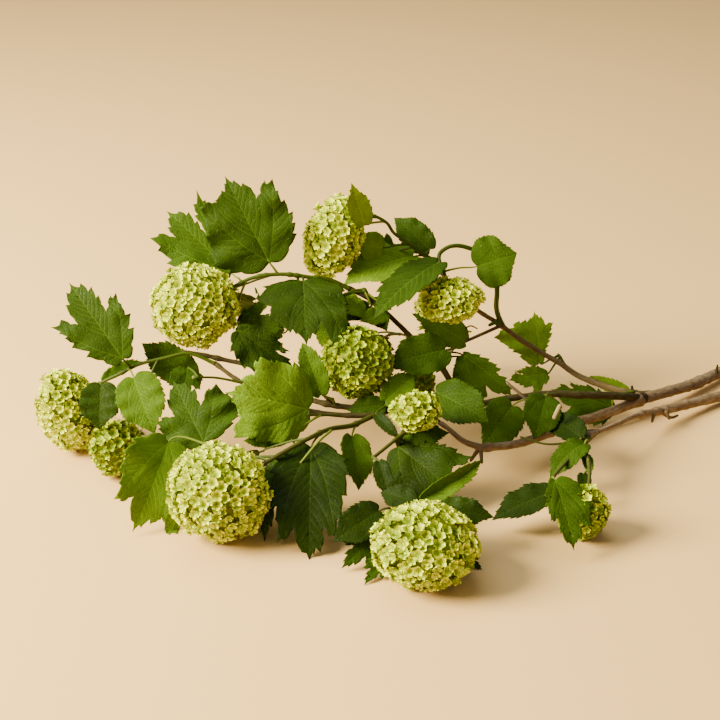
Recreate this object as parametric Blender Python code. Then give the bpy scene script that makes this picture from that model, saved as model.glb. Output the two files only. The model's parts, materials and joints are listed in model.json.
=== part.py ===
"""Two cut flowering stems of a snowball viburnum that lie crossed on a flat surface.

Old wood forks into thinner branches, young shoots leave the branches' tips and sides, and each shoot carries
its own leaves and ends in a ball of small flowers. Every limb, every spray of leaves and every flower ball is a
solid of its own. The layout below is in millimetres, with +Z up from the surface, +Y away from the front
flower ball and the cut ends of the two stems at the far right. The whole plant is then moved so that the
origin is at the bottom centre of its box.
"""
import math
from typing import NamedTuple, Optional

import bmesh
import bpy
from mathutils import Vector

MM = 0.001
GAP = 0.35                 # clear space between a limb and what grows from it, mm
STUB = 2.5                 # straight start of a side limb, mm
PETIOLE_RADIUS = (0.8, 0.32)   # where it leaves the shoot and where it meets the blade
PETIOLE_SINK = 3.0         # how far a leaf stalk runs on inside its blade, mm
PETIOLE_BOW = 0.12         # share of its reach by which a leaf stalk bows back from the blade
LEAF_THICKNESS = 0.8       # least thickness of a blade, mm
LEAF_THICKNESS_SHARE = 0.0125   # of the blade's length, where that is more
LEAF_CUP = 0.25            # how far the blade's margins turn down, as a share of half width squared
FLORET_SPACING = 14.5      # distance between the bumps on a flower ball, mm
FLORET_DEPTH = 1.6         # hollow between the bumps, mm
GOLDEN_TURN = math.pi * (1 + 5 ** 0.5)

# Half of a plain blade's outline, from the foot round to the tip: degrees from the midrib, and reach as a share
# of the blade's length.
OUTLINES = {
    "broad": ((120, 0.14), (88, 0.34), (66, 0.52), (48, 0.66), (32, 0.80), (18, 0.84), (9, 0.93)),
    "oval": ((115, 0.12), (80, 0.32), (58, 0.48), (42, 0.60), (28, 0.74), (15, 0.88), (7, 0.96)),
}
# A three-lobed blade's sides, the clockwise one first: its side lobe's degrees from the midrib and reach, the
# half width at the belly and the reach of the notch between the lobes. These sides are those of an even blade.
EVEN = ((32, 0.79, 0.43, 0.63), (32, 0.79, 0.43, 0.63))
BELLY_AT = 0.24            # how far up the blade its belly is
MIDRIB = (0.0, 0.28, 0.60, 1.0)
# Each half of the blade as triangles on the midrib's points (m) and the outline's points (o).
HALF_BLADE = (
    ("m0", "o0", "o1"), ("m0", "o1", "m1"), ("m1", "o1", "o2"), ("m1", "o2", "o3"), ("m1", "o3", "o4"),
    ("m1", "o4", "o5"), ("m1", "o5", "m2"), ("m2", "o5", "o6"), ("m2", "o6", "m3"),
)

COLOURS = {
    "bark_grey": ((0.30, 0.22, 0.15), 0.75),
    "bark_dark": ((0.11, 0.07, 0.05), 0.7),
    "bark_red": ((0.20, 0.10, 0.07), 0.7),
    "leaf": ((0.08, 0.19, 0.02), 0.5),
    "petals": ((0.55, 0.62, 0.22), 0.6),
}


class Limb(NamedTuple):
    """A woody limb: what it leaves and where along it, its start and end radius, its sides and its route."""

    parent: Optional[str]
    at: float
    radii: tuple
    sides: int
    route: list
    bark: str


class Bloom(NamedTuple):
    """A flower ball: its centre, its radii across, deep and high, and its lean to the right in degrees."""

    centre: tuple
    radii: tuple
    lean: float


class Leaf(NamedTuple):
    """A leaf: its place along the shoot, its stalk (length, heading, rise) and its blade.

    The blade is (length, heading, rise, roll), with its width as a share of the outline's own, the fold of its
    halves and the curl along its length in degrees, and its outline: a name, or its two sides' lobes. Headings
    count from +X round +Z.
    """

    at: float
    stalk: tuple
    blade: tuple
    width: float
    fold: float
    curl: float
    outline: object


class Spray(NamedTuple):
    """A shoot with its leaves: what it leaves and where, its radii, its route, the ball it carries, its leaves."""

    parent: str
    at: float
    radii: tuple
    route: list
    bloom: Optional[str]
    leaves: list


LIMBS = {
    "stem_upper": Limb(None, 0, (5.6, 4.6), 8, [(410, 166, 6.1), (340, 118, 7), (298, 86, 8), (270, 60, 10),
                (250, 44, 12), (230, 29, 14), (216, 18, 16)], "bark_grey"), 
    "stem_lower": Limb(None, 0, (6.2, 2.4), 8, [(412, 88, 6.7), (344, 66, 7), (290, 44, 7), (264, 26, 10),
                (238, 6, 16), (214, -16, 22), (188, -48, 28), (165, -72, 32)], "bark_grey"), 
    "branch_back": Limb("stem_upper", 0.93, (2.8, 1.5), 6, [(207, 28, 20), (192, 38, 21), (175, 46, 25),
                (161, 52, 33), (148, 57, 39), (129, 61, 50), (112, 62, 63), (95, 60, 75), (73, 54, 99),
                (55, 50, 124)], "bark_red"), 
    "branch_mid": Limb("stem_upper", 0.98, (3.2, 2.2), 6, [(206, 10, 24), (186, 0, 30), (173, -6, 33),
                (145, -14, 38), (128, -20, 39), (111, -26, 40), (94, -34, 40), (59, -46, 42), (26, -56, 47),
                (12, -62, 47)], "bark_dark"), 
    "branch_front": Limb("stem_upper", 1.0, (4.2, 2.8), 8, [(200, 6, 14), (186, -2, 13), (166, -18, 16),
                (134, -50, 20), (110, -74, 26), (84, -90, 32)], "bark_grey"), 
    "branch_rise": Limb("branch_mid", 0.66, (2.5, 1.7), 6, [(73, -30, 49), (61, -20, 64), (45, -8, 76),
                (30, 0, 89), (6, 8, 108), (-10, 10, 116)], "bark_dark"), 
    "branch_tip": Limb("branch_front", 1.0, (2.3, 1.6), 6, [(74, -90, 38), (62, -86, 47), (48, -80, 54)],
                "bark_dark"), 
    "branch_left": Limb("branch_mid", 1.0, (2.0, 1.5), 6, [(4, -62, 49), (-10, -60, 50), (-36, -56, 54),
                (-80, -36, 72), (-100, -34, 76), (-116, -34, 79), (-134, -34, 80)], "bark_dark"), 
    "branch_low": Limb("branch_mid", 0.95, (1.9, 1.4), 6, [(12, -71, 42), (-12, -75, 46), (-36, -76, 53),
                (-66, -66, 62), (-92, -52, 70), (-108, -40, 77)], "bark_dark"), 
    "twig_grey": Limb("stem_lower", 0.96, (1.0, 0.7), 5, [(158, -56, 28), (144, -34, 24), (132, -2, 24),
                (124, 6, 32), (116, 14, 44)], "bark_grey"), 
}
BLOOMS = {
    "bloom_far_left": Bloom((-220, -32, 33), (23.5, 24, 32), -10),
    "bloom_low_left": Bloom((-180, -70, 21), (20.5, 20.5, 20.5), 0),
    "bloom_upper_left": Bloom((-123, -10, 110), (33.4, 34, 31), 0),
    "bloom_front_left": Bloom((-96, -156, 34), (35.6, 35, 33.6), 0),
    "bloom_top": Bloom((-22, 30, 151), (22.5, 24, 33), 24),
    "bloom_centre": Bloom((-2, -40, 77), (27, 27, 27), 0),
    "bloom_small": Bloom((39, -102, 68), (17.8, 17.5, 13.6), 0),
    "bloom_upper_right": Bloom((68, 14, 104), (26, 23, 16.6), -4),
    "bloom_front": Bloom((42, -212, 26.4), (36, 35, 25.9), 0),
    "bloom_right": Bloom((152, -158, 20), (17.5, 18, 19.5), 0),
    "bloom_hidden": Bloom((46, -14, 48), (11.5, 12, 11), 0),
}
SPRAYS = {
    "leaves_upper_left": Spray("branch_rise", 1.0, (1.7, 1.3), [(-24, 9, 123), (-38, 6, 126), (-58, 2, 130),
                (-82, -2, 128)], "bloom_upper_left", [
        Leaf(0.95, (39, 105, -10), (70, 150, 35, -50), 1.0, 10, 20,
            ((22, 0.92, 0.36, 0.66), (23, 0.95, 0.42, 0.8))), 
        Leaf(0.62, (11, 145, 45), (70, 140, 55, -45), 1.0, 10, 20,
            ((26, 0.88, 0.4, 0.72), (30, 0.9, 0.55, 0.8))), 
        Leaf(0.4, (10, -85, -45), (52, -85, -30, 5), 1.0, 8, 40,
            ((58, 0.86, 0.66, 0.62), (44, 0.6, 0.44, 0.6))), 
        Leaf(0.25, (33, 60, -80), (36, -70, -40, 20), 0.6, 14, 30, "broad"),
        Leaf(0.55, (30, -130, -20), (36, -110, -30, -20), 0.6, 8, 30, "broad"),
        Leaf(0.8, (49, 135, -30), (66, 135, -35, 40), 0.9, 10, 25, EVEN),
        Leaf(0.66, (55, 145, -30), (68, 105, -50, 15), 0.9, 10, 25, EVEN),
        Leaf(0.45, (46, -145, -70), (30, 175, 15, -50), 0.55, 10, 20, "broad"),
    ]),
    "leaves_far_left": Spray("branch_low", 1.0, (1.4, 1.1), [(-126, -40, 84), (-144, -44, 82),
                (-162, -46, 78), (-176, -44, 70), (-190, -42, 62)], "bloom_far_left", [
        Leaf(0.6, (12, -135, 55), (70, 140, 40, -40), 1.0, 10, 20,
            ((31, 0.64, 0.24, 0.52), (31, 0.86, 0.4, 0.62))), 
        Leaf(0.62, (15, -75, 20), (46, -65, -35, 25), 0.82, 8, 30, "broad"),
        Leaf(0.95, (28, -65, 30), (32, -90, -50, 0), 0.95, 14, 20, "broad"),
        Leaf(0.85, (8, 90, -20), (38, 50, 5, 20), 0.45, 40, 10, "oval"),
        Leaf(0.9, (42, 110, -30), (48, 135, -40, 35), 0.8, 10, 25, EVEN),
    ]),
    "leaves_low_left": Spray("branch_low", 0.82, (1.0, 0.8), [(-106, -60, 74), (-120, -66, 77)], None, [
        Leaf(0.98, (6, 135, 20), (44, 145, 15, -60), 0.52, 8, 20, "broad"),
        Leaf(0.9, (11, 145, 0), (22, -100, -35, -15), 1.1, 10, 30, EVEN),
    ]),
    "leaves_front_left": Spray("branch_low", 0.14, (1.6, 1.3), [(-4, -84, 44), (-22, -104, 51),
                (-38, -124, 54), (-56, -136, 50)], "bloom_front_left", [
        Leaf(0.9, (61, 150, -5), (56, 125, 35, -35), 1.0, 6, 15,
            ((36, 0.8, 0.6, 0.66), (38, 0.72, 0.4, 0.62))), 
        Leaf(0.95, (77, 160, 0), (66, -115, -40, -45), 1.0, 14, 25,
            ((31, 0.88, 0.34, 0.72), (20, 0.95, 0.4, 0.84))), 
        Leaf(0.45, (20, -120, -5), (84, -90, -35, 0), 1.0, 12, 35,
            ((17, 0.86, 0.3, 0.78), (15, 0.82, 0.3, 0.76))), 
        Leaf(0.15, (10, -115, -10), (40, -85, -45, -15), 0.6, 16, 25, "oval"),
        Leaf(0.85, (33, -100, 30), (58, -95, -50, 30), 0.42, 10, 30, EVEN),
        Leaf(0.62, (43, 160, -25), (40, 155, -35, 30), 0.7, 10, 20, EVEN),
    ]),
    "stalk_low_left": Spray("leaves_far_left", 0.42, (1.0, 0.9), [(-156, -54, 66), (-160, -64, 50)],
                "bloom_low_left", [
    ]),
    "leaves_rear": Spray("branch_rise", 0.55, (1.1, 0.9), [(30, 22, 72), (22, 34, 66)], None, [
        Leaf(0.95, (21, 130, -40), (60, 135, -45, 35), 0.9, 10, 25, EVEN),
        Leaf(0.6, (31, 140, -20), (54, 105, -60, 10), 0.8, 10, 25, EVEN),
    ]),
    "leaf_fan": Spray("branch_low", 0.3, (1.2, 0.9), [(-38, -84, 56)], None, [
        Leaf(0.9, (5, 120, 30), (62, -165, 20, -60), 1.0, 8, 30,
            ((34, 0.8, 0.5, 0.63), (30, 0.87, 0.36, 0.66))), 
        Leaf(0.6, (31, -155, -20), (30, -160, 5, -70), 0.5, 10, 20, "oval"),
    ]),
    "leaf_left": Spray("branch_left", 0.62, (1.0, 0.8), [(-88, -36, 84)], None, [
        Leaf(0.9, (14, -165, 70), (42, -25, -10, 45), 0.72, 10, 20,
            ((32, 0.79, 0.42, 0.63), (32, 0.62, 0.42, 0.55))), 
    ]),
    "leaf_inner": Spray("branch_left", 0.22, (1.0, 0.8), [(-20, -66, 60)], None, [
        Leaf(0.9, (11, -150, 35), (34, 125, 55, -30), 0.65, 20, 20, "oval"),
    ]),
    "leaves_arch": Spray("branch_back", 0.62, (2.2, 1.5), [(109, 62, 77), (109, 62, 91), (108, 62, 103),
                (103, 62, 116), (97, 61, 124), (86, 59, 129), (77, 57, 132), (69, 54, 132), (63, 51, 129)],
                "bloom_upper_right", [
        Leaf(0.97, (15, -130, 60), (74, -135, -20, -10), 0.5, 10, 30, "broad"),
        Leaf(0.78, (31, -25, -15), (34, -5, 25, 75), 1.3, 8, 25, "broad"),
        Leaf(0.4, (20, 65, 5), (34, 110, -55, 15), 0.8, 10, 25, EVEN),
    ]),
    "leaves_top": Spray("branch_back", 1.0, (1.4, 1.2), [(46, 46, 132), (36, 44, 140), (26, 42, 148),
                (20, 38, 158), (6, 34, 164)], "bloom_top", [
        Leaf(0.95, (20, -100, 5), (42, -115, 60, -145), 0.38, 10, 15, "broad"),
        Leaf(0.1, (7, 55, 10), (38, 145, 30, -45), 0.62, 12, 20, "broad"),
        Leaf(0.3, (23, -165, 0), (20, -165, 10, -75), 1.15, 10, 30, "broad"),
        Leaf(0.25, (19, 175, -10), (14, 120, 65, -30), 0.6, 10, 10, "oval"),
        Leaf(0.05, (13, -155, 5), (56, -150, -10, -10), 0.62, 12, 25, "broad"),
        Leaf(0.75, (36, 145, -25), (50, 120, -40, 25), 0.8, 10, 25, EVEN),
    ]),
    "leaves_node": Spray("branch_back", 0.62, (1.5, 1.1), [(100, 52, 60), (92, 48, 58), (84, 42, 57),
                (70, 30, 54)], "bloom_hidden", [
        Leaf(0.7, (26, 45, 15), (46, 180, 30, -40), 0.6, 10, 20, "broad"),
        Leaf(0.98, (40, 65, 5), (52, -145, -10, -20), 0.72, 10, 25, "broad"),
        Leaf(0.62, (23, 35, 10), (54, -50, -35, 30), 1.0, 14, 25,
            ((24, 0.82, 0.28, 0.66), (20, 0.7, 0.26, 0.66))), 
        Leaf(0.75, (27, 40, -15), (28, -110, -25, -25), 0.45, 10, 25, "oval"),
        Leaf(0.45, (33, 80, -5), (52, 135, -15, 30), 0.8, 10, 25, EVEN),
    ]),
    "leaves_centre": Spray("branch_mid", 0.93, (1.2, 1.0), [(20, -62, 56)], "bloom_centre", [
        Leaf(0.4, (6, -150, 20), (32, 40, 25, 40), 0.62, 16, 25, "broad"),
        Leaf(0.3, (21, -130, -5), (26, -50, -20, 40), 0.45, 20, 30, "oval"),
    ]),
    "leaf_centre": Spray("branch_mid", 0.76, (1.1, 0.9), [(58, -50, 52)], None, [
        Leaf(0.9, (11, -115, 50), (48, -40, -10, 35), 0.68, 10, 25, "broad"),
    ]),
    "leaves_under": Spray("branch_mid", 0.36, (1.1, 0.9), [(142, -20, 40)], None, [
        Leaf(0.9, (32, -155, -5), (44, -125, -20, -35), 0.72, 10, 25, "broad"),
        Leaf(0.7, (23, -110, 20), (36, -110, -30, -20), 0.8, 10, 25, "broad"),
    ]),
    "leaf_fork": Spray("branch_mid", 0.06, (1.0, 0.8), [(196, 16, 22)], None, [
        Leaf(0.9, (10, -65, -75), (50, 180, 20, -60), 0.68, 10, 20, "broad"),
    ]),
    "leaves_front": Spray("branch_tip", 1.0, (1.5, 1.2), [(42, -86, 54), (36, -96, 52), (22, -112, 48),
                (8, -128, 44)], None, [
        Leaf(0.3, (10, -145, -40), (32, 0, 5, 55), 0.5, 10, 20, "broad"),
        Leaf(0.6, (17, 80, -45), (54, -45, -15, 40), 1.0, 8, 30,
            ((33, 0.93, 0.42, 0.86), (29, 1.0, 0.36, 0.88))), 
        Leaf(0.97, (7, -55, -5), (26, -70, -40, 20), 0.5, 16, 25, "broad"),
    ]),
    "stalk_centre": Spray("branch_tip", 0.8, (1.0, 0.9), [(50, -86, 60)], "bloom_small", [
    ]),
    "leaves_bloom": Spray("leaves_front", 0.55, (1.5, 1.3), [(30, -120, 44), (34, -150, 44),
                (40, -180, 46)], "bloom_front", [
        Leaf(0.7, (15, -90, -45), (26, 150, 0, -35), 0.7, 10, 20, "broad"),
        Leaf(0.8, (11, -65, -25), (46, 15, 30, 70), 0.45, 40, 25, "oval"),
        Leaf(0.75, (21, -10, -45), (36, -15, 10, 40), 0.6, 10, 25, "broad"),
        Leaf(0.5, (39, -125, -20), (36, -150, -20, -40), 0.7, 10, 20, "broad"),
        Leaf(0.6, (42, -130, -45), (40, -135, -15, -30), 0.7, 10, 20, EVEN),
        Leaf(0.7, (54, -120, -50), (32, -120, -5, -15), 0.55, 10, 20, EVEN),
        Leaf(0.8, (55, -35, -50), (18, -40, -10, 30), 0.7, 10, 20, EVEN),
        Leaf(0.55, (26, -70, -35), (38, 155, -45, 30), 0.7, 10, 20, EVEN),
    ]),
    "leaves_right": Spray("stem_lower", 1.0, (1.4, 1.1), [(163, -86, 30), (163, -104, 28), (160, -128, 26)],
                "bloom_right", [
        Leaf(0.05, (9, -95, 0), (38, -140, -25, -15), 0.5, 10, 70, "broad"),
        Leaf(0.45, (11, 90, -5), (16, -85, -25, 5), 0.6, 10, 10, "oval"),
        Leaf(0.6, (6, 160, -50), (20, -95, -15, -10), 0.52, 10, 20, "broad"),
        Leaf(0.02, (5, -145, 20), (38, 120, 0, -25), 0.6, 10, 20, "broad"),
    ]),
    "leaves_fall": Spray("stem_lower", 0.965, (1.4, 1.1), [(148, -104, 36), (138, -124, 34),
                (132, -138, 34)], None, [
        Leaf(0.98, (8, -80, -60), (46, -160, -15, -15), 0.55, 12, 15, "broad"),
        Leaf(0.99, (22, -100, 20), (50, -70, -35, 10), 1.0, 8, 20,
            ((19, 0.66, 0.19, 0.62), (33, 0.68, 0.3, 0.55))), 
    ]),
    "leaves_joint": Spray("branch_rise", 0.86, (0.9, 0.7), [(2, 10, 116)], None, [
        Leaf(0.9, (10, -125, -10), (20, -65, -25, 25), 0.5, 10, 20, "broad"),
        Leaf(0.7, (22, -155, 0), (18, -100, -40, -10), 0.7, 10, 20, "broad"),
        Leaf(0.5, (22, -40, -40), (24, -145, 0, -45), 0.6, 10, 20, "broad"),
    ]),
    "leaves_back": Spray("branch_back", 0.33, (1.1, 0.9), [(160, 60, 38)], None, [
        Leaf(0.9, (19, 155, -35), (42, 105, 65, -15), 1.0, 8, 25,
            ((24, 0.8, 0.16, 0.76), (42, 1.04, 0.26, 0.9))), 
        Leaf(0.7, (19, -155, -40), (38, -145, 10, -50), 1.0, 10, 20,
            ((12, 0.8, 0.2, 0.62), (46, 0.7, 0.22, 0.6))), 
    ]),
    "leaf_folded": Spray("branch_back", 0.05, (0.8, 0.7), [(214, 36, 32)], None, [
        Leaf(0.9, (15, -95, -35), (36, 155, 15, -55), 0.4, 30, 20, "oval"),
    ]),
}


def clear_scene():
    """Remove the objects that the scene starts with."""
    for item in list(bpy.data.objects):
        bpy.data.objects.remove(item, do_unlink=True)


def make_materials():
    """Return the plant's materials by name."""
    made = {}
    for name, (colour, roughness) in COLOURS.items():
        mat = bpy.data.materials.new(name)
        mat.use_nodes = True
        shader = mat.node_tree.nodes["Principled BSDF"]
        shader.inputs["Base Color"].default_value = (*colour, 1.0)
        shader.inputs["Roughness"].default_value = roughness
        shader.inputs["Metallic"].default_value = 0.0
        made[name] = mat
    return made


def direction(heading, rise):
    """Return the unit vector at a heading round +Z and a rise above the level, both in degrees."""
    h, e = math.radians(heading), math.radians(rise)
    return Vector((math.cos(e) * math.cos(h), math.cos(e) * math.sin(h), math.sin(e)))


def smooth_route(points, per=2):
    """Return points on a smooth curve through the way-points, with `per` to each of the longer gaps."""
    gaps = [(b - a).length for a, b in zip(points, points[1:])]
    slopes = [(points[1] - points[0]) / gaps[0]]
    for i in range(1, len(points) - 1):
        before, after = (points[i] - points[i - 1]) / gaps[i - 1], (points[i + 1] - points[i]) / gaps[i]
        slopes.append((before * gaps[i] + after * gaps[i - 1]) / (gaps[i - 1] + gaps[i]))
    slopes.append((points[-1] - points[-2]) / gaps[-1])
    curve = []
    for i, gap in enumerate(gaps):
        count = per if gap > 6 else 1
        for j in range(count):
            t = j / count
            curve.append((2 * t ** 3 - 3 * t * t + 1) * points[i] + (t ** 3 - 2 * t * t + t) * gap * slopes[i]
                         + (3 * t * t - 2 * t ** 3) * points[i + 1] + (t ** 3 - t * t) * gap * slopes[i + 1])
    return curve + [points[-1]]


def station(route, share):
    """Return the point and the direction at a share of the route's length."""
    gaps = [(b - a).length for a, b in zip(route, route[1:])]
    left = share * sum(gaps)
    for a, b, gap in zip(route, route[1:], gaps):
        if left <= gap or b is route[-1]:
            return a.lerp(b, left / gap), (b - a).normalized()
        left -= gap
    return route[-1], (route[-1] - route[-2]).normalized()


def leave(parent, share, toward):
    """Return the first two points of what leaves a limb toward a point, just clear of its bark.

    `parent` is the limb's (route, start radius, end radius). From the limb's very tip the growth carries
    straight on.
    """
    route, start, end = parent
    point, along = station(route, share)
    if share >= 1.0:
        return [point + along * GAP, point + along * (GAP + STUB)]
    out = (toward - point)
    out = (out - along * out.dot(along)).normalized()
    reach = start + (end - start) * share + GAP
    return [point + out * reach, point + out * (reach + STUB)]


def stop_at(bloom, start):
    """Return the point where a stalk from `start` toward a flower ball's middle stops, just clear of it."""
    centre = Vector(bloom.centre)
    lean = math.radians(bloom.lean)
    near, far = 0.0, 1.0
    for _ in range(40):
        share = (near + far) / 2
        off = (centre - start) * (share - 1)
        x = off.x * math.cos(lean) - off.z * math.sin(lean)
        z = off.x * math.sin(lean) + off.z * math.cos(lean)
        rx, ry, rz = (r + GAP + 0.05 for r in bloom.radii)
        if (x / rx) ** 2 + (off.y / ry) ** 2 + (z / rz) ** 2 < 1:
            far = share
        else:
            near = share
    return start.lerp(centre, near)


def tube(name, route, start, end, sides):
    """Return a mesh object of a tapering limb with flat ends, from a round-bevelled curve along the route."""
    curve = bpy.data.curves.new(name, "CURVE")
    curve.dimensions = "3D"
    curve.bevel_depth = MM
    curve.bevel_resolution = max(0, sides // 2 - 2)
    curve.use_fill_caps = True
    line = curve.splines.new("POLY")
    line.points.add(len(route) - 1)
    gaps = [0.0]
    for a, b in zip(route, route[1:]):
        gaps.append(gaps[-1] + (b - a).length)
    for spot, place, far in zip(line.points, route, gaps):
        spot.co = (*(place * MM), 1.0)
        spot.radius = start + (end - start) * far / gaps[-1]
    guide = bpy.data.objects.new(name + "_guide", curve)
    bpy.context.collection.objects.link(guide)
    bpy.context.view_layer.update()
    mesh = bpy.data.meshes.new_from_object(guide.evaluated_get(bpy.context.evaluated_depsgraph_get()))
    bpy.data.objects.remove(guide, do_unlink=True)
    shape = bmesh.new()
    shape.from_mesh(mesh)
    bmesh.ops.remove_doubles(shape, verts=shape.verts, dist=1e-7)
    bmesh.ops.recalc_face_normals(shape, faces=shape.faces)
    shape.to_mesh(mesh)
    shape.free()
    mesh.materials.clear()
    item = bpy.data.objects.new(name, mesh)
    bpy.context.collection.objects.link(item)
    return item


def bent(length, curl, fold, along, across):
    """Return a blade's point in (along, across, up) of its chord; shares of the length go in."""
    turn = math.radians(curl)
    arc = length * (turn / 2) / math.sin(turn / 2)
    s, v = along * arc, across * length
    angle = turn * (0.5 - s / arc)
    x = arc / turn * (math.sin(turn / 2) - math.sin(angle))
    z = arc / turn * (math.cos(angle) - math.cos(turn / 2))
    up = abs(v) * math.sin(math.radians(fold)) - LEAF_CUP * v * v / length
    return Vector((x - math.sin(angle) * up, v * math.cos(math.radians(fold)), z + math.cos(angle) * up))


def half_outline(outline, side):
    """Return the points of one side of a blade from foot to tip, as shares of its length along and across."""
    if isinstance(outline, str):
        turned = [(math.radians(angle), reach) for angle, reach in OUTLINES[outline]]
        return [(reach * math.cos(a), reach * math.sin(a)) for a, reach in turned]
    angle, reach, belly, notch = outline[0 if side > 0 else 1]
    turn = math.radians(angle)
    lobe = (reach * math.cos(turn), reach * math.sin(turn))
    shoulder = ((BELLY_AT + lobe[0]) / 2, (belly + lobe[1]) / 2 + 0.02)
    inner = (notch * math.cos(0.55 * turn), notch * math.sin(0.55 * turn))
    return [(-0.04, 0.24 * belly), (0.06, 0.70 * belly), (BELLY_AT, belly), shoulder, lobe, inner, (0.84, 0.12)]


def blade_axes(heading, rise, roll):
    """Return a blade's axes: along its chord, out of its upper side and across."""
    along = direction(heading, rise)
    level = direction(heading, rise + 90)
    q = math.radians(roll)
    up = level * math.cos(q) + along.cross(level) * math.sin(q)
    return along, up, along.cross(up)


def blade(name, foot, leaf):
    """Return a mesh object of a leaf's blade, a bent sheet with its thickness added."""
    length, heading, rise, roll = leaf.blade
    along, up, across = blade_axes(heading, rise, roll)
    shape = bmesh.new()

    def add(s, v):
        p = bent(length, leaf.curl, leaf.fold, s, v)
        return shape.verts.new((foot + along * p.x + across * p.y + up * p.z) * MM)

    midrib = [add(s, 0.0) for s in MIDRIB]
    for side in (1, -1):
        half = {f"m{i}": v for i, v in enumerate(midrib)}
        for i, (s, v) in enumerate(half_outline(leaf.outline, side)):
            half[f"o{i}"] = add(s, side * leaf.width * v)
        for corners in HALF_BLADE:
            shape.faces.new([half[c] for c in (corners[::-1] if side > 0 else corners)])
    mesh = bpy.data.meshes.new(name)
    shape.to_mesh(mesh)
    shape.free()
    item = bpy.data.objects.new(name, mesh)
    bpy.context.collection.objects.link(item)
    body = item.modifiers.new("thickness", "SOLIDIFY")
    body.thickness = max(LEAF_THICKNESS, LEAF_THICKNESS_SHARE * length) * MM
    body.offset = 0.0
    return item


def petiole(name, root, foot, leaf):
    """Return a mesh object of a leaf's stalk, which starts inside the shoot and ends inside the blade."""
    length, heading, rise, roll = leaf.blade
    along, _, _ = blade_axes(heading, rise, roll)
    reach = (foot - root).length
    middle = (root + foot) / 2 - along * PETIOLE_BOW * reach + Vector((0, 0, 0.06 * reach))
    route = smooth_route([root, middle, foot, foot + along * PETIOLE_SINK], 1)
    start, end = PETIOLE_RADIUS
    return tube(name, route, start, max(0.12, end - (start - end) * PETIOLE_SINK / reach), 4)


def join(name, stem, pieces):
    """Fuse the pieces into the stem with one union on a collection, and return the stem."""
    if not pieces:
        return stem
    group = bpy.data.collections.new(name + "_pieces")
    bpy.context.scene.collection.children.link(group)
    for piece in pieces:
        bpy.context.collection.objects.unlink(piece)
        group.objects.link(piece)
    union = stem.modifiers.new("leaves", "BOOLEAN")
    union.operation = "UNION"
    union.operand_type = "COLLECTION"
    union.collection = group
    union.solver = "MANIFOLD"
    bpy.context.view_layer.update()
    mesh = bpy.data.meshes.new_from_object(stem.evaluated_get(bpy.context.evaluated_depsgraph_get()))
    stem.modifiers.clear()
    stem.data = mesh
    for piece in pieces:
        bpy.data.objects.remove(piece, do_unlink=True)
    bpy.data.collections.remove(group)
    return stem


def spray_object(name, spray, route):
    """Return a shoot fused with the stalks and the blades of its leaves."""
    stem = tube(name, route, *spray.radii, 6 if spray.radii[0] > 1.5 else 4)
    pieces = []
    for i, leaf in enumerate(spray.leaves):
        root, _ = station(route, leaf.at)
        foot = root + direction(*leaf.stalk[1:]) * leaf.stalk[0]
        pieces.append(petiole(f"{name}_stalk_{i}", root, foot, leaf))
        pieces.append(blade(f"{name}_blade_{i}", foot, leaf))
    return join(name, stem, pieces)


def bloom_object(name, bloom):
    """Return a flower ball: an egg of evenly spread bumps, with the faces between them pressed in."""
    rx, ry, rz = bloom.radii
    count = max(26, round(4 * math.pi * (rx * ry * rz) ** (2 / 3) / (0.87 * FLORET_SPACING ** 2)))
    lean = math.radians(bloom.lean)
    shape = bmesh.new()
    for i in range(count):
        z = 1 - 2 * (i + 0.5) / count
        turn = GOLDEN_TURN * (i + 0.5)
        flat = math.sqrt(1 - z * z)
        x, y, z = rx * flat * math.cos(turn), ry * flat * math.sin(turn), rz * z
        right, high = x * math.cos(lean) + z * math.sin(lean), z * math.cos(lean) - x * math.sin(lean)
        shape.verts.new(Vector((right, y, high)) * MM)
    bmesh.ops.convex_hull(shape, input=shape.verts)
    bmesh.ops.recalc_face_normals(shape, faces=shape.faces)
    bmesh.ops.poke(shape, faces=shape.faces, offset=-FLORET_DEPTH * MM)
    mesh = bpy.data.meshes.new(name)
    shape.to_mesh(mesh)
    shape.free()
    item = bpy.data.objects.new(name, mesh)
    item.location = Vector(bloom.centre) * MM
    bpy.context.collection.objects.link(item)
    return item


def grow(spec, grown, extra=()):
    """Return the smooth route of a limb or shoot, from just clear of what it leaves."""
    route = [Vector(p) for p in spec.route]
    if spec.parent:
        route = leave(grown[spec.parent], spec.at, route[0]) + route
    return smooth_route(route + list(extra))


def main():
    """Build the plant and stand it on its origin."""
    clear_scene()
    materials = make_materials()
    grown, items = {}, []
    for name, limb in LIMBS.items():
        route = grow(limb, grown)
        grown[name] = (route, *limb.radii)
        item = tube(name, route, *limb.radii, limb.sides)
        item.data.materials.append(materials[limb.bark])
        items.append(item)
    for name, spray in SPRAYS.items():
        ends = [stop_at(BLOOMS[spray.bloom], Vector(spray.route[-1]))] if spray.bloom else []
        route = grow(spray, grown, ends)
        grown[name] = (route, *spray.radii)
        item = spray_object(name, spray, route)
        item.data.materials.clear()
        item.data.materials.append(materials["leaf"])
        items.append(item)
    for name, bloom in BLOOMS.items():
        item = bloom_object(name, bloom)
        item.data.materials.append(materials["petals"])
        items.append(item)
    bpy.context.view_layer.update()
    corners = [item.matrix_world @ v.co for item in items for v in item.data.vertices]
    low = Vector(min(c[i] for c in corners) for i in range(3))
    high = Vector(max(c[i] for c in corners) for i in range(3))
    plant = bpy.data.objects.new("plant", None)
    bpy.context.collection.objects.link(plant)
    plant.location = (-(low.x + high.x) / 2, -(low.y + high.y) / 2, -low.z)
    for item in items:
        item.parent = plant
    size = high - low
    print("plant moved by", [round(v / MM, 2) for v in plant.location], "mm; size", [round(v / MM, 1) for v in size])
    print("triangles", sum(len(p.vertices) - 2 for item in items for p in item.data.polygons))


main()
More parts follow.
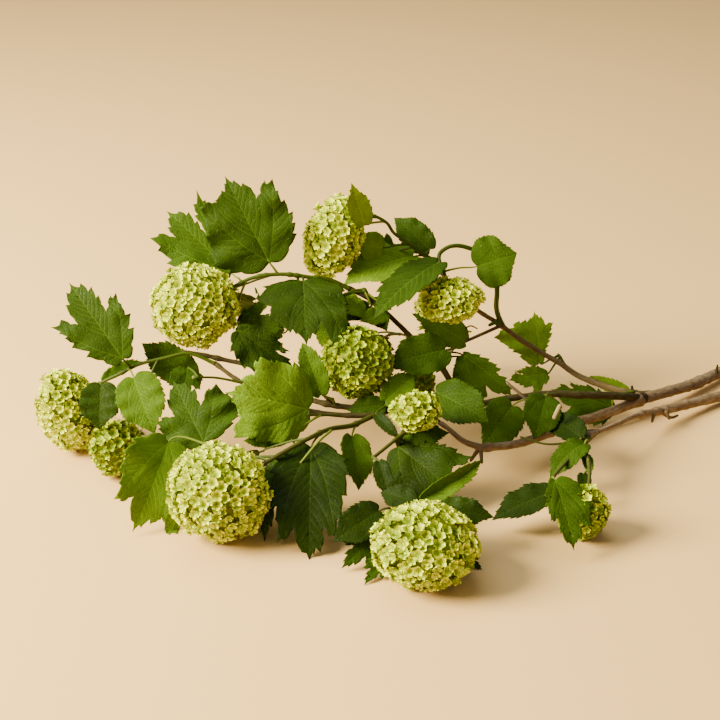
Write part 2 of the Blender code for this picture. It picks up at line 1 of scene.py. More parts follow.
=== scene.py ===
"""Two cut flowering stems of a snowball viburnum that lie crossed on a pale surface.

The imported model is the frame: its limbs, shoots with leaves and flower balls say where everything is. Each is
replaced here by the real thing: limbs with bark, shoots with leaf stalks and veined, toothed leaves, and balls of
five-petalled flowers. The layout is in millimetres, with +Z up from the surface, and is the source's own.
"""
import json
import logging
import math
import random
from dataclasses import dataclass, field
from enum import Enum
from typing import Optional, Sequence, Union

import bpy
import numpy as np
from mathutils import Matrix, Vector, geometry, noise

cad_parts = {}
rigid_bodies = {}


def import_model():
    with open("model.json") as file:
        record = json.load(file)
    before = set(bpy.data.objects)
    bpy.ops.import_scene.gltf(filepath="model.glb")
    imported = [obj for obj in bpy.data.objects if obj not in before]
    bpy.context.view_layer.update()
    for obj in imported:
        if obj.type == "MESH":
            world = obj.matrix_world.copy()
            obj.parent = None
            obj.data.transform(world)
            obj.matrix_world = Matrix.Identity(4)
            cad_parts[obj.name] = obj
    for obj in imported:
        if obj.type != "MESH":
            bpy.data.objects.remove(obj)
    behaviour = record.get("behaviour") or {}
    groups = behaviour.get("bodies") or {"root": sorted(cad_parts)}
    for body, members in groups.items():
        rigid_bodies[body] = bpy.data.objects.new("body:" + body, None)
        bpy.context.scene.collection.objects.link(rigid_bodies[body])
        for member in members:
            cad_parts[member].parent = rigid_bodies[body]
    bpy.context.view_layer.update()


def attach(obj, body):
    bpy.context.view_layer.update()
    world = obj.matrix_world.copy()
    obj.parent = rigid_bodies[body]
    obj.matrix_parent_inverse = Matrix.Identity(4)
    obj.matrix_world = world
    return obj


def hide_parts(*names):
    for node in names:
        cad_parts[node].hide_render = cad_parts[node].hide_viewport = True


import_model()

log = logging.getLogger("viburnum")

Colour = tuple[float, float, float]
Point = tuple[float, float, float]
Lobes = tuple[tuple[float, float, float, float], tuple[float, float, float, float]]

MM = 0.001
PLANT_SHIFT = Vector((-85.48, 37.85, -0.46))   # from the layout to the frame, mm
ROOT_BODY = "root"

GAP = 0.35                 # clear space that the source keeps between a limb and what grows from it, mm
STUB = 2.5                 # straight start of a side limb, mm
PETIOLE_BOW = 0.12         # share of its reach by which a leaf stalk bows back from the blade
LEAF_CUP = 0.25            # how far the blade's margins turn down, as a share of half width squared
BELLY_AT = 0.24            # how far up a lobed blade its belly is
GOLDEN_TURN = math.pi * (1 + 5 ** 0.5)

# Half of a plain blade's outline, from the foot round to the tip: degrees from the midrib, and reach as a share
# of the blade's length.
OUTLINES = {
    "broad": ((120, 0.14), (88, 0.34), (66, 0.52), (48, 0.66), (32, 0.80), (18, 0.84), (9, 0.93)),
    "oval": ((115, 0.12), (80, 0.32), (58, 0.48), (42, 0.60), (28, 0.74), (15, 0.88), (7, 0.96)),
}
# A three-lobed blade's sides, the clockwise one first: its side lobe's degrees from the midrib and reach, the
# half width at the belly and the reach of the notch between the lobes.
EVEN: Lobes = ((32, 0.79, 0.43, 0.63), (32, 0.79, 0.43, 0.63))


class Skin(Enum):
    """The outside of a stem, and the record's slot that it takes its finish from."""

    GREY = "bark_grey"
    DARK = "bark_dark"
    RED = "bark_red"
    TAN = "twig_tan"
    OLIVE = "shoot_olive"
    GREEN = "shoot_green"
    PALE = "shoot_pale"
    CUT = "cut_wood"


class Tone(Enum):
    """How light and how yellow a leaf is: partly the leaf's own colour and partly painted light, for the darker tones
    also stand in for shade that falls on a leaf and the lighter ones for light that reaches it.
    """

    FRESH = "fresh"
    BRIGHT = "bright"
    LIGHT = "light"
    GREEN = "green"
    DEEP = "deep"
    DARK = "dark"
    PALE = "pale"
    # painted light: the palest tone, given to leaves that lie in shade, stands in for light that comes through them
    THIN = "thin"


class Petal(Enum):
    """How far a flower has turned from green to cream."""

    CREAM = "cream"
    LIME = "lime"
    GREEN = "green"


class Zone(Enum):
    """Which of the joined twig pieces a shoot's stem belongs to."""

    LEFT = "twigs_left"
    MIDDLE = "twigs_middle"
    RIGHT = "twigs_right"


class MeshBuilder:
    """Gathers the points and faces of many small shapes and makes one object of them."""

    def __init__(self) -> None:
        """Start with nothing gathered."""
        self.points: list[np.ndarray] = []
        self.loops: list[np.ndarray] = []
        self.sizes: list[np.ndarray] = []
        self.slots: list[np.ndarray] = []
        self.marks: list[np.ndarray] = []
        self.charts: list[np.ndarray] = []
        self.count = 0

    def add(self, points: np.ndarray, faces: np.ndarray, slot: Union[int, np.ndarray],
            marks: Optional[np.ndarray] = None, chart: Optional[np.ndarray] = None, start: Optional[int] = None) -> int:
        """Add a shape, or more faces on the points of one already added.

        Args:
            points: Places of the shape's points in mm of the layout, one row each; none for more faces.
            faces: Faces with the same number of corners, one row each.
            slot: Material slot of all the faces, or one for each.
            marks: A value for each point, such as its distance from a vein.
            chart: Two flat coordinates for each point, for patterns that follow the surface.
            start: Number of the shape's first point, where its points are already in.

        Returns:
            The number of the shape's first point.
        """
        first = self.count if start is None else start
        if len(points):
            self.points.append(np.asarray(points, float))
            self.marks.append(np.zeros(len(points)) if marks is None else np.asarray(marks, float))
            self.charts.append(np.zeros((len(points), 2)) if chart is None else np.asarray(chart, float))
            self.count += len(points)
        faces = np.asarray(faces, int)
        self.loops.append((faces + first).ravel())
        self.sizes.append(np.full(len(faces), faces.shape[1]))
        self.slots.append(np.full(len(faces), slot) if np.isscalar(slot) else np.asarray(slot, int))
        return first

    def make(self, name: str, materials: Sequence[bpy.types.Material]) -> bpy.types.Object:
        """Make the gathered shapes into one smooth-shaded object that rides on the plant.

        Args:
            name: The object's name.
            materials: Its materials in the order of the slots.

        Returns:
            The new object, with its place in its mesh.
        """
        points = (np.concatenate(self.points) + np.array(PLANT_SHIFT)) * MM
        loops, sizes = np.concatenate(self.loops), np.concatenate(self.sizes)
        mesh = bpy.data.meshes.new(name)
        mesh.vertices.add(len(points))
        mesh.vertices.foreach_set("co", points.astype(np.float32).ravel())
        mesh.loops.add(len(loops))
        mesh.loops.foreach_set("vertex_index", loops.astype(np.int32))
        mesh.polygons.add(len(sizes))
        mesh.polygons.foreach_set("loop_start", np.concatenate([[0], np.cumsum(sizes)[:-1]]).astype(np.int32))
        for material in materials:
            mesh.materials.append(material)
        mesh.polygons.foreach_set("material_index", np.concatenate(self.slots).astype(np.int32))
        mesh.update(calc_edges=True)
        mesh.validate()
        vein = mesh.attributes.new("vein", "FLOAT", "POINT")
        vein.data.foreach_set("value", np.concatenate(self.marks).astype(np.float32))
        chart = mesh.uv_layers.new(name="surface")
        chart.data.foreach_set("uv", np.concatenate(self.charts)[loops].astype(np.float32).ravel())
        item = bpy.data.objects.new(name, mesh)
        bpy.context.scene.collection.objects.link(item)
        only(item)
        bpy.ops.object.shade_smooth()
        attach(item, ROOT_BODY)
        return item


def only(item: bpy.types.Object) -> None:
    """Select one object and nothing else, and make it the active one."""
    bpy.ops.object.select_all(action="DESELECT")
    item.select_set(True)
    bpy.context.view_layer.objects.active = item


def triangles(item: bpy.types.Object) -> int:
    """Count an object's triangles."""
    sizes = np.zeros(len(item.data.polygons), np.int32)
    item.data.polygons.foreach_get("loop_total", sizes)
    return int((sizes - 2).sum())


def direction(heading: float, rise: float) -> Vector:
    """Turn a heading round +Z and a rise above the level, both in degrees, into a unit vector."""
    h, e = math.radians(heading), math.radians(rise)
    return Vector((math.cos(e) * math.cos(h), math.cos(e) * math.sin(h), math.sin(e)))


def smooth_route(points: Sequence[Vector], step: Optional[float] = None) -> list[Vector]:
    """Lay a smooth curve through way-points.

    Args:
        points: The way-points.
        step: Distance between the curve's points in mm; without it, the source's own two to each longer gap.

    Returns:
        Points along the curve, the way-points among them.
    """
    gaps = [(b - a).length for a, b in zip(points, points[1:])]
    slopes = [(points[1] - points[0]) / gaps[0]]
    for i in range(1, len(points) - 1):
        before, after = (points[i] - points[i - 1]) / gaps[i - 1], (points[i + 1] - points[i]) / gaps[i]
        slopes.append((before * gaps[i] + after * gaps[i - 1]) / (gaps[i - 1] + gaps[i]))
    slopes.append((points[-1] - points[-2]) / gaps[-1])
    curve = []
    for i, gap in enumerate(gaps):
        count = max(1, round(gap / step)) if step else (2 if gap > 6 else 1)
        for j in range(count):
            t = j / count
            curve.append((2 * t ** 3 - 3 * t * t + 1) * points[i] + (t ** 3 - 2 * t * t + t) * gap * slopes[i]
                         + (3 * t * t - 2 * t ** 3) * points[i + 1] + (t ** 3 - t * t) * gap * slopes[i + 1])
    return curve + [points[-1].copy()]


def station(route: Sequence[Vector], share: float) -> tuple[Vector, Vector]:
    """Find the point and the direction at a share of a route's length."""
    gaps = [(b - a).length for a, b in zip(route, route[1:])]
    left = share * sum(gaps)
    for a, b, gap in zip(route, route[1:], gaps):
        if left <= gap or b is route[-1]:
            return a.lerp(b, left / gap), (b - a).normalized()
        left -= gap
    return route[-1], (route[-1] - route[-2]).normalized()


def lengths_along(points: np.ndarray) -> np.ndarray:
    """Give each point's distance along the line from its first."""
    return np.concatenate([[0.0], np.cumsum(np.linalg.norm(np.diff(points, axis=0), axis=1))])


def across_the_line(route: Sequence[Vector]) -> tuple[np.ndarray, np.ndarray, np.ndarray]:
    """Give a line's points with two directions across it at each, which don't twist along it."""
    points = np.array([tuple(p) for p in route])
    along = np.gradient(points, axis=0)
    along /= np.linalg.norm(along, axis=1)[:, None]
    side = np.cross(along[0], (0, 0, 1) if abs(along[0][2]) < 0.9 else (1, 0, 0))
    sides, ups = [], []
    for tangent in along:
        side = side - tangent * side.dot(tangent)
        side /= np.linalg.norm(side)
        sides.append(side)
        ups.append(np.cross(tangent, side))
    return points, np.array(sides), np.array(ups)


def tube(builder: MeshBuilder, route: Sequence[Vector], radii: np.ndarray, slot: int,
         end_slot: Optional[int] = None) -> None:
    """Add a closed tube along a route.

    Args:
        builder: What the tube is added to.
        route: The tube's centre line.
        radii: The radius at each point of the route and each side, or at each point.
        slot: Material slot of its wall.
        end_slot: Material slot of its flat ends, where it is another.
    """
    points, sides_dir, ups = across_the_line(route)
    radii = np.asarray(radii, float)
    sides = radii.shape[1] if radii.ndim == 2 else 8
    if radii.ndim == 1:
        radii = np.repeat(radii[:, None], sides, axis=1)
    turn = 2 * math.pi * np.arange(sides) / sides
    rings = (points[:, None] + radii[..., None] * (np.cos(turn)[None, :, None] * sides_dir[:, None]
                                                    + np.sin(turn)[None, :, None] * ups[:, None]))
    count = len(points)
    far = lengths_along(points)
    mean = radii.mean()
    chart = np.stack([np.tile(turn * mean / 100, count), np.repeat(far / 100, sides)], axis=1)
    i, k = np.meshgrid(np.arange(count - 1), np.arange(sides), indexing="ij")
    a, b = i * sides + k, i * sides + (k + 1) % sides
    walls = np.stack([a, b, b + sides, a + sides], axis=-1).reshape(-1, 4)
    first = builder.add(rings.reshape(-1, 3), walls, slot, chart=chart)
    cap = slot if end_slot is None else end_slot
    ring = np.arange(sides)
    for row, flip in ((0, True), (count - 1, False)):
        hub = builder.add(points[row][None], np.zeros((0, 3), int), cap)
        fan = np.stack([ring + first + row * sides, (ring + 1) % sides + first + row * sides,
                        np.full(sides, hub)], axis=1)
        builder.add(np.zeros((0, 3)), fan[:, ::-1] if flip else fan, cap, start=0)


class Grain:
    """The shader node groups that several finishes share. Each is made on first use."""

    def __init__(self) -> None:
        """Start with no group made."""
        self.made: dict[str, bpy.types.NodeTree] = {}

    def start(self, name: str, inputs: Sequence[tuple[str, str, object]], outputs: Sequence[tuple[str, str]],
              ) -> tuple[bpy.types.NodeTree, bpy.types.Node, bpy.types.Node]:
        """Make an empty group.

        Args:
            name: The group's name.
            inputs: Name, socket type and default value of each input.
            outputs: Name and socket type of each output.

        Returns:
            The group, its input node and its output node.
        """
        group = bpy.data.node_groups.new(name, "ShaderNodeTree")
        for label, kind, value in inputs:
            socket = group.interface.new_socket(label, in_out="INPUT", socket_type=kind)
            socket.default_value = value
        for label, kind in outputs:
            group.interface.new_socket(label, in_out="OUTPUT", socket_type=kind)
        self.made[name] = group
        return group, group.nodes.new("NodeGroupInput"), group.nodes.new("NodeGroupOutput")

    def bark(self) -> bpy.types.NodeTree:
        """Give the bark's group: streaks along the limb, grey patches and pale pores."""
        if "bark_grain" in self.made:
            return self.made["bark_grain"]
        group, inlet, outlet = self.start(
            "bark_grain",
            [("Place", "NodeSocketVector", (0.0, 0.0, 0.0)), ("Light", "NodeSocketColor", (1, 1, 1, 1)),
             ("Dark", "NodeSocketColor", (0, 0, 0, 1)), ("Patch", "NodeSocketColor", (0.5, 0.5, 0.5, 1)),
             ("Patches", "NodeSocketFloat", 0.4), ("Pores", "NodeSocketFloat", 0.5)],
            [("Colour", "NodeSocketColor"), ("Height", "NodeSocketFloat")])
        nodes, links = group.nodes, group.links
        streak = noise_node(nodes, links, inlet.outputs["Place"], (3.0, 0.7, 1.0), 2.2, 5, 0.62)
        fine = noise_node(nodes, links, inlet.outputs["Place"], (1.0, 0.5, 1.0), 14.0, 3, 0.6)
        broad = noise_node(nodes, links, inlet.outputs["Place"], (1.0, 0.45, 1.0), 1.1, 3, 0.55)
        pore = nodes.new("ShaderNodeTexVoronoi")
        pore.inputs["Scale"].default_value = 3.2
        pore.inputs["Randomness"].default_value = 1.0
        links.new(inlet.outputs["Place"], pore.inputs["Vector"])
        wood = mix_node(nodes, links, ramp_value(nodes, links, streak, 0.34, 0.66), inlet.outputs["Dark"],
                        inlet.outputs["Light"])
        some = math_node(nodes, links, "MULTIPLY", ramp_value(nodes, links, broad, 0.5, 0.68),
                         inlet.outputs["Patches"])
        patched = mix_node(nodes, links, some, wood, inlet.outputs["Patch"])
        dots = math_node(nodes, links, "MULTIPLY", ramp_value(nodes, links, pore.outputs["Distance"], 0.16, 0.07),
                         inlet.outputs["Pores"])
        links.new(mix_node(nodes, links, dots, patched, inlet.outputs["Patch"]), outlet.inputs["Colour"])
        rough = math_node(nodes, links, "ADD", streak, math_node(nodes, links, "MULTIPLY", fine, 0.5))
        links.new(math_node(nodes, links, "ADD", rough, dots), outlet.inputs["Height"])
        return group

    def tissue(self) -> bpy.types.NodeTree:
        """Give the leaf's group: cloudy green with a net of the finest veins."""
        if "leaf_tissue" in self.made:
            return self.made["leaf_tissue"]
        group, inlet, outlet = self.start(
            "leaf_tissue",
            [("Place", "NodeSocketVector", (0.0, 0.0, 0.0)), ("Shade", "NodeSocketColor", (0.1, 0.2, 0.01, 1)),
             ("Cloud", "NodeSocketColor", (0.06, 0.14, 0.01, 1)), ("Net", "NodeSocketColor", (0.2, 0.3, 0.02, 1)),
             ("Clouds", "NodeSocketFloat", 0.7), ("Cells", "NodeSocketFloat", 4.5)],
            [("Colour", "NodeSocketColor"), ("Height", "NodeSocketFloat")])
        nodes, links = group.nodes, group.links
        cloud = noise_node(nodes, links, inlet.outputs["Place"], (1.0, 1.0, 1.0), 0.9, 4, 0.6)
        net = nodes.new("ShaderNodeTexVoronoi")
        net.feature = "DISTANCE_TO_EDGE"
        links.new(inlet.outputs["Cells"], net.inputs["Scale"])
        links.new(inlet.outputs["Place"], net.inputs["Vector"])
        line = ramp_value(nodes, links, net.outputs["Distance"], 0.10, 0.0)
        some = math_node(nodes, links, "MULTIPLY", ramp_value(nodes, links, cloud, 0.38, 0.66),
                         inlet.outputs["Clouds"])
        tone = mix_node(nodes, links, some, inlet.outputs["Shade"], inlet.outputs["Cloud"])
        links.new(mix_node(nodes, links, math_node(nodes, links, "MULTIPLY", line, 0.30), tone,
                           inlet.outputs["Net"]), outlet.inputs["Colour"])
        fine = noise_node(nodes, links, inlet.outputs["Place"], (1.0, 1.0, 1.0), 9.0, 2, 0.5)
        links.new(math_node(nodes, links, "SUBTRACT", math_node(nodes, links, "MULTIPLY", fine, 0.6), line),
                  outlet.inputs["Height"])
        return group

    def skin(self) -> bpy.types.NodeTree:
        """Give the young shoots' group: a smooth skin between two colours, with faint lines along it."""
        if "shoot_skin" in self.made:
            return self.made["shoot_skin"]
        group, inlet, outlet = self.start(
            "shoot_skin",
            [("Place", "NodeSocketVector", (0.0, 0.0, 0.0)), ("Shade", "NodeSocketColor", (0.2, 0.3, 0.05, 1)),
             ("Other", "NodeSocketColor", (0.1, 0.2, 0.02, 1))],
            [("Colour", "NodeSocketColor"), ("Height", "NodeSocketFloat")])
        nodes, links = group.nodes, group.links
        cloud = noise_node(nodes, links, inlet.outputs["Place"], (1.0, 0.35, 1.0), 1.6, 3, 0.55)
        ridge = noise_node(nodes, links, inlet.outputs["Place"], (4.0, 0.25, 1.0), 3.0, 2, 0.5)
        links.new(mix_node(nodes, links, ramp_value(nodes, links, cloud, 0.35, 0.65), inlet.outputs["Shade"],
                           inlet.outputs["Other"]), outlet.inputs["Colour"])
        links.new(ridge, outlet.inputs["Height"])
        return group


def noise_node(nodes: bpy.types.Nodes, links: bpy.types.NodeLinks, place: bpy.types.NodeSocket, stretch: Point,
               scale: float, detail: float, roughness: float) -> bpy.types.NodeSocket:
    """Add a noise texture on stretched coordinates.

    Args:
        nodes: The tree's nodes.
        links: The tree's links.
        place: Socket with the coordinates.
        stretch: How many times closer together the pattern is along each axis.
        scale: The noise's scale.
        detail: The noise's octaves.
        roughness: The weight of its finer octaves.

    Returns:
        The socket with its value.
    """
    mapping = nodes.new("ShaderNodeMapping")
    mapping.inputs["Scale"].default_value = stretch
    links.new(place, mapping.inputs["Vector"])
    texture = nodes.new("ShaderNodeTexNoise")
    texture.inputs["Scale"].default_value = scale
    texture.inputs["Detail"].default_value = detail
    texture.inputs["Roughness"].default_value = roughness
    links.new(mapping.outputs["Vector"], texture.inputs["Vector"])
    return texture.outputs["Fac"]


def ramp_value(nodes: bpy.types.Nodes, links: bpy.types.NodeLinks, value: bpy.types.NodeSocket, low: float,
               high: float) -> bpy.types.NodeSocket:
    """Add a soft step from 0 at `low` to 1 at `high`, and give its socket."""
    step = nodes.new("ShaderNodeMapRange")
    step.interpolation_type = "SMOOTHSTEP"
    step.inputs["From Min"].default_value = min(low, high)
    step.inputs["From Max"].default_value = max(low, high)
    step.inputs["To Min"].default_value = 0.0 if low < high else 1.0
    step.inputs["To Max"].default_value = 1.0 if low < high else 0.0
    links.new(value, step.inputs["Value"])
    return step.outputs["Result"]


def math_node(nodes: bpy.types.Nodes, links: bpy.types.NodeLinks, operation: str, first: bpy.types.NodeSocket,
              second: Union[bpy.types.NodeSocket, float]) -> bpy.types.NodeSocket:
    """Add a Math node on a socket and a socket or number, and give its socket."""
    step = nodes.new("ShaderNodeMath")
    step.operation = operation
    links.new(first, step.inputs[0])
    if isinstance(second, float):
        step.inputs[1].default_value = second
    else:
        links.new(second, step.inputs[1])
    return step.outputs["Value"]


def mix_node(nodes: bpy.types.Nodes, links: bpy.types.NodeLinks, share: bpy.types.NodeSocket,
             first: bpy.types.NodeSocket, second: bpy.types.NodeSocket) -> bpy.types.NodeSocket:
    """Add a colour mix of two sockets by a third, and give its socket."""
    mix = nodes.new("ShaderNodeMix")
    mix.data_type = "RGBA"
    links.new(share, mix.inputs["Factor"])
    links.new(first, [s for s in mix.inputs if s.name == "A" and s.type == "RGBA"][0])
    links.new(second, [s for s in mix.inputs if s.name == "B" and s.type == "RGBA"][0])
    return [s for s in mix.outputs if s.type == "RGBA"][0]


@dataclass(frozen=True)
class Finish:
    """What every finish has: a name and how rough it is."""

    name: str
    roughness: float
    gloss: float = field(default=0.06, kw_only=True)

    def blank(self) -> tuple[bpy.types.Material, bpy.types.Node]:
        """Make the material and give it with its shader."""
        material = bpy.data.materials.new(self.name)
        material.use_nodes = True
        shader = material.node_tree.nodes["Principled BSDF"]
        shader.inputs["Roughness"].default_value = self.roughness
        shader.inputs["Specular IOR Level"].default_value = self.gloss
        return material, shader

    def patterned(self, group: bpy.types.NodeTree, values: dict[str, object], relief: float,
                  depth: float) -> bpy.types.Material:
        """Make the material with a pattern from a group on the piece's own UV map.

        Args:
            group: The node group with Colour and Height.
            values: The group's own inputs here.
            relief: Strength of the bump.
            depth: Depth of the bump in mm.

        Returns:
            The material.
        """
        material, shader = self.blank()
        nodes, links = material.node_tree.nodes, material.node_tree.links
        place = nodes.new("ShaderNodeUVMap")
        place.uv_map = "surface"
        pattern = nodes.new("ShaderNodeGroup")
        pattern.node_tree = group
        links.new(place.outputs["UV"], pattern.inputs["Place"])
        for label, value in values.items():
            pattern.inputs[label].default_value = value
        links.new(pattern.outputs["Colour"], shader.inputs["Base Color"])
        bump = nodes.new("ShaderNodeBump")
        bump.inputs["Strength"].default_value = relief
        bump.inputs["Distance"].default_value = depth * MM
        links.new(pattern.outputs["Height"], bump.inputs["Height"])
        links.new(bump.outputs["Normal"], shader.inputs["Normal"])
        return material


@dataclass(frozen=True)
class BarkFinish(Finish):
    """Bark in streaks of two colours, with patches of a third and pale pores."""

    light: Colour
    dark: Colour
    patch: Colour
    patches: float = 0.5
    pores: float = 0.6

    def build(self, grain: Grain) -> bpy.types.Material:
        """Make the bark's material."""
        return self.patterned(grain.bark(), {"Light": (*self.light, 1), "Dark": (*self.dark, 1),
                                             "Patch": (*self.patch, 1), "Patches": self.patches,
                                             "Pores": self.pores}, 0.55, 0.35)


@dataclass(frozen=True)
class ShootFinish(Finish):
    """The smooth skin of a green shoot or a leaf stalk."""

    shade: Colour
    other: Colour

    def build(self, grain: Grain) -> bpy.types.Material:
        """Make the skin's material."""
        return self.patterned(grain.skin(), {"Shade": (*self.shade, 1), "Other": (*self.other, 1)}, 0.3, 0.15)


@dataclass(frozen=True)
class BladeFinish(Finish):
    """One face of a leaf's blade between its veins."""

    shade: Colour
    cloud: Colour
    net: Colour

    def build(self, grain: Grain) -> bpy.types.Material:
        """Make the blade's material."""
        return self.patterned(grain.tissue(), {"Shade": (*self.shade, 1), "Cloud": (*self.cloud, 1),
                                               "Net": (*self.net, 1)}, 0.8, 0.40)


@dataclass(frozen=True)
class PlainFinish(Finish):
    """One plain colour, for a petal's zone or a leaf's vein, whose place is in the mesh."""

    colour: Colour

    def build(self, grain: Grain) -> bpy.types.Material:
        """Make the plain material."""
        material, shader = self.blank()
        shader.inputs["Base Color"].default_value = (*self.colour, 1.0)
        return material


def scaled(colour: Colour, share: float) -> Colour:
    """Make a colour lighter or darker."""
    return tuple(share * value for value in colour)


def added(first: Colour, second: Colour) -> Colour:
    """Add two colours."""
    return tuple(a + b for a, b in zip(first, second))


class Palette:
    """Makes each material of the plant once and gives it by name."""

    # Leaf base colours by tone, with painted light in them: the darker tones partly carry painted shade, the lighter
    # ones painted light, and the palest tone stands in for light through leaves that lie in shade
    LEAF_SHADES: dict[Tone, Colour] = {
        Tone.DARK: (0.0125, 0.026, 0.0006), Tone.DEEP: (0.0195, 0.040, 0.0009), Tone.GREEN: (0.028, 0.057, 0.0012),
        Tone.FRESH: (0.040, 0.080, 0.0014), Tone.BRIGHT: (0.056, 0.108, 0.0018), Tone.LIGHT: (0.075, 0.140, 0.0026),
        Tone.PALE: (0.099, 0.175, 0.0050), Tone.THIN: (0.150, 0.255, 0.0090),
    }
    PETAL_SHADES: dict[Petal, tuple[Colour, Colour, Colour]] = {
        Petal.CREAM: ((0.30, 0.38, 0.003), (0.58, 0.67, 0.010), (0.86, 0.91, 0.085)),
        Petal.LIME: ((0.21, 0.29, 0.003), (0.43, 0.53, 0.006), (0.67, 0.76, 0.03)),
        Petal.GREEN: ((0.10, 0.16, 0.002), (0.20, 0.27, 0.003), (0.33, 0.41, 0.006)),
    }

    def __init__(self) -> None:
        """List the finishes by name."""
        self.grain = Grain()
        self.made: dict[str, bpy.types.Material] = {}
        self.finishes: dict[str, Finish] = {finish.name: finish for finish in (
            BarkFinish("bark_grey", 0.8, (0.26, 0.175, 0.092), (0.145, 0.090, 0.043), (0.33, 0.245, 0.147), 0.5, 0.5),
            BarkFinish("bark_dark", 0.75, (0.066, 0.050, 0.017), (0.037, 0.027, 0.009), (0.10, 0.083, 0.03), 0.5, 0.4),
            BarkFinish("bark_red", 0.7, (0.175, 0.118, 0.046), (0.100, 0.064, 0.022), (0.22, 0.165, 0.08), 0.4, 0.4),
            BarkFinish("twig_tan", 0.75, (0.17, 0.12, 0.065), (0.11, 0.07, 0.035), (0.22, 0.17, 0.10), 0.4, 0.4),
            PlainFinish("cut_wood", 0.7, (0.31, 0.245, 0.10)),
            PlainFinish("pith", 0.8, (0.55, 0.47, 0.30)),
            ShootFinish("shoot_olive", 0.5, (0.056, 0.064, 0.006), (0.040, 0.036, 0.005), gloss=0.15),
            ShootFinish("shoot_green", 0.5, (0.052, 0.080, 0.004), (0.038, 0.058, 0.003), gloss=0.15),
            ShootFinish("shoot_pale", 0.5, (0.15, 0.19, 0.018), (0.10, 0.135, 0.010), gloss=0.15),
            PlainFinish("flower_core", 0.7, (0.14, 0.18, 0.003)),
        )}
        for tone, shade in self.LEAF_SHADES.items():
            under = added(scaled(shade, 1.2), (0.020, 0.028, 0.006))
            for finish in (
                BladeFinish(f"leaf_{tone.value}", 0.5, shade, scaled(shade, 0.72), scaled(shade, 1.35)),
                PlainFinish(f"vein_{tone.value}", 0.5, added(scaled(shade, 1.45), (0.006, 0.006, 0.001))),
                BladeFinish(f"under_{tone.value}", 0.65, under, scaled(under, 0.8), scaled(under, 1.25)),
                PlainFinish(f"rib_{tone.value}", 0.6, added(scaled(under, 1.5), (0.010, 0.010, 0.003))),
            ):
                self.finishes[finish.name] = finish
        for tone, shades in self.PETAL_SHADES.items():
            for part, shade in zip(("throat", "middle", "rim"), shades):
                name = f"petal_{tone.value}_{part}"
                self.finishes[name] = PlainFinish(name, 0.55, shade)

    def get(self, name: str) -> bpy.types.Material:
        """Give the material of this name."""
        if name not in self.made:
            self.made[name] = self.finishes[name].build(self.grain)
        return self.made[name]


def half_outline(outline: Union[str, Lobes], side: int) -> list[tuple[float, float]]:
    """Give the points of one side of a blade from foot to tip, as shares of its length along and across."""
    if isinstance(outline, str):
        turned = [(math.radians(angle), reach) for angle, reach in OUTLINES[outline]]
        return [(reach * math.cos(a), reach * math.sin(a)) for a, reach in turned]
    angle, reach, belly, notch = outline[0 if side > 0 else 1]
    turn = math.radians(angle)
    lobe = (reach * math.cos(turn), reach * math.sin(turn))
    shoulder = ((BELLY_AT + lobe[0]) / 2, (belly + lobe[1]) / 2 + 0.02)
    inner = (notch * math.cos(0.55 * turn), notch * math.sin(0.55 * turn))
    return [(-0.04, 0.24 * belly), (0.06, 0.70 * belly), (BELLY_AT, belly), shoulder, lobe, inner, (0.84, 0.12)]


def blade_axes(heading: float, rise: float, roll: float) -> tuple[Vector, Vector, Vector]:
    """Give a blade's directions: along its chord, out of its upper side and across."""
    along = direction(heading, rise)
    level = direction(heading, rise + 90)
    q = math.radians(roll)
    up = level * math.cos(q) + along.cross(level) * math.sin(q)
    return along, up, along.cross(up)


def distance_to_line(points: np.ndarray, line: np.ndarray) -> tuple[np.ndarray, np.ndarray]:
    """Give each flat point's distance to a line of points, and how far along the line that is as a share."""
    start, step = line[:-1], np.diff(line, axis=0)
    far = lengths_along(line)
    t = np.einsum("pqi,qi->pq", points[:, None] - start[None], step) / np.maximum((step ** 2).sum(1), 1e-12)
    t = np.clip(t, 0, 1)
    gap = np.linalg.norm(points[:, None] - (start[None] + t[..., None] * step[None]), axis=2)
    nearest = gap.argmin(1)
    rows = np.arange(len(points))
    return gap[rows, nearest], (far[nearest] + t[rows, nearest] * np.linalg.norm(step, axis=1)[nearest]) / far[-1]


def inside(points: np.ndarray, loop: np.ndarray) -> np.ndarray:
    """Tell which flat points lie inside a closed loop."""
    a, b = loop, np.roll(loop, -1, axis=0)
    y = points[:, 1][:, None]
    crosses = (a[:, 1] > y) != (b[:, 1] > y)
    rise = np.where(b[:, 1] == a[:, 1], 1e-12, b[:, 1] - a[:, 1])
    x = a[:, 0] + (y - a[:, 1]) / rise * (b[:, 0] - a[:, 0])
    return (crosses & (points[:, 0][:, None] < x)).sum(1) % 2 == 1


@dataclass
class Vein:
    """A vein on the flat blade: its points and its half width where it starts and ends, as shares of the length."""

    points: np.ndarray
    start: float
    end: float

    def edge(self) -> np.ndarray:
        """Give the closed outline of the vein, which narrows to a point."""
        ahead = np.gradient(self.points, axis=0)
        ahead /= np.maximum(np.linalg.norm(ahead, axis=1), 1e-9)[:, None]
        half = self.start + (self.end - self.start) * lengths_along(self.points) / lengths_along(self.points)[-1]
        out = np.stack([-ahead[:, 1], ahead[:, 0]], axis=1) * half[:, None]
        return np.vstack([(self.points + out)[:-1], self.points[-1:], (self.points - out)[:-1][::-1]])

    def covers(self, points: np.ndarray) -> np.ndarray:
        """Tell how many half widths of the vein each flat point is from its middle."""
        gap, share = distance_to_line(points, self.points)
        return gap / (self.start + (self.end - self.start) * share)


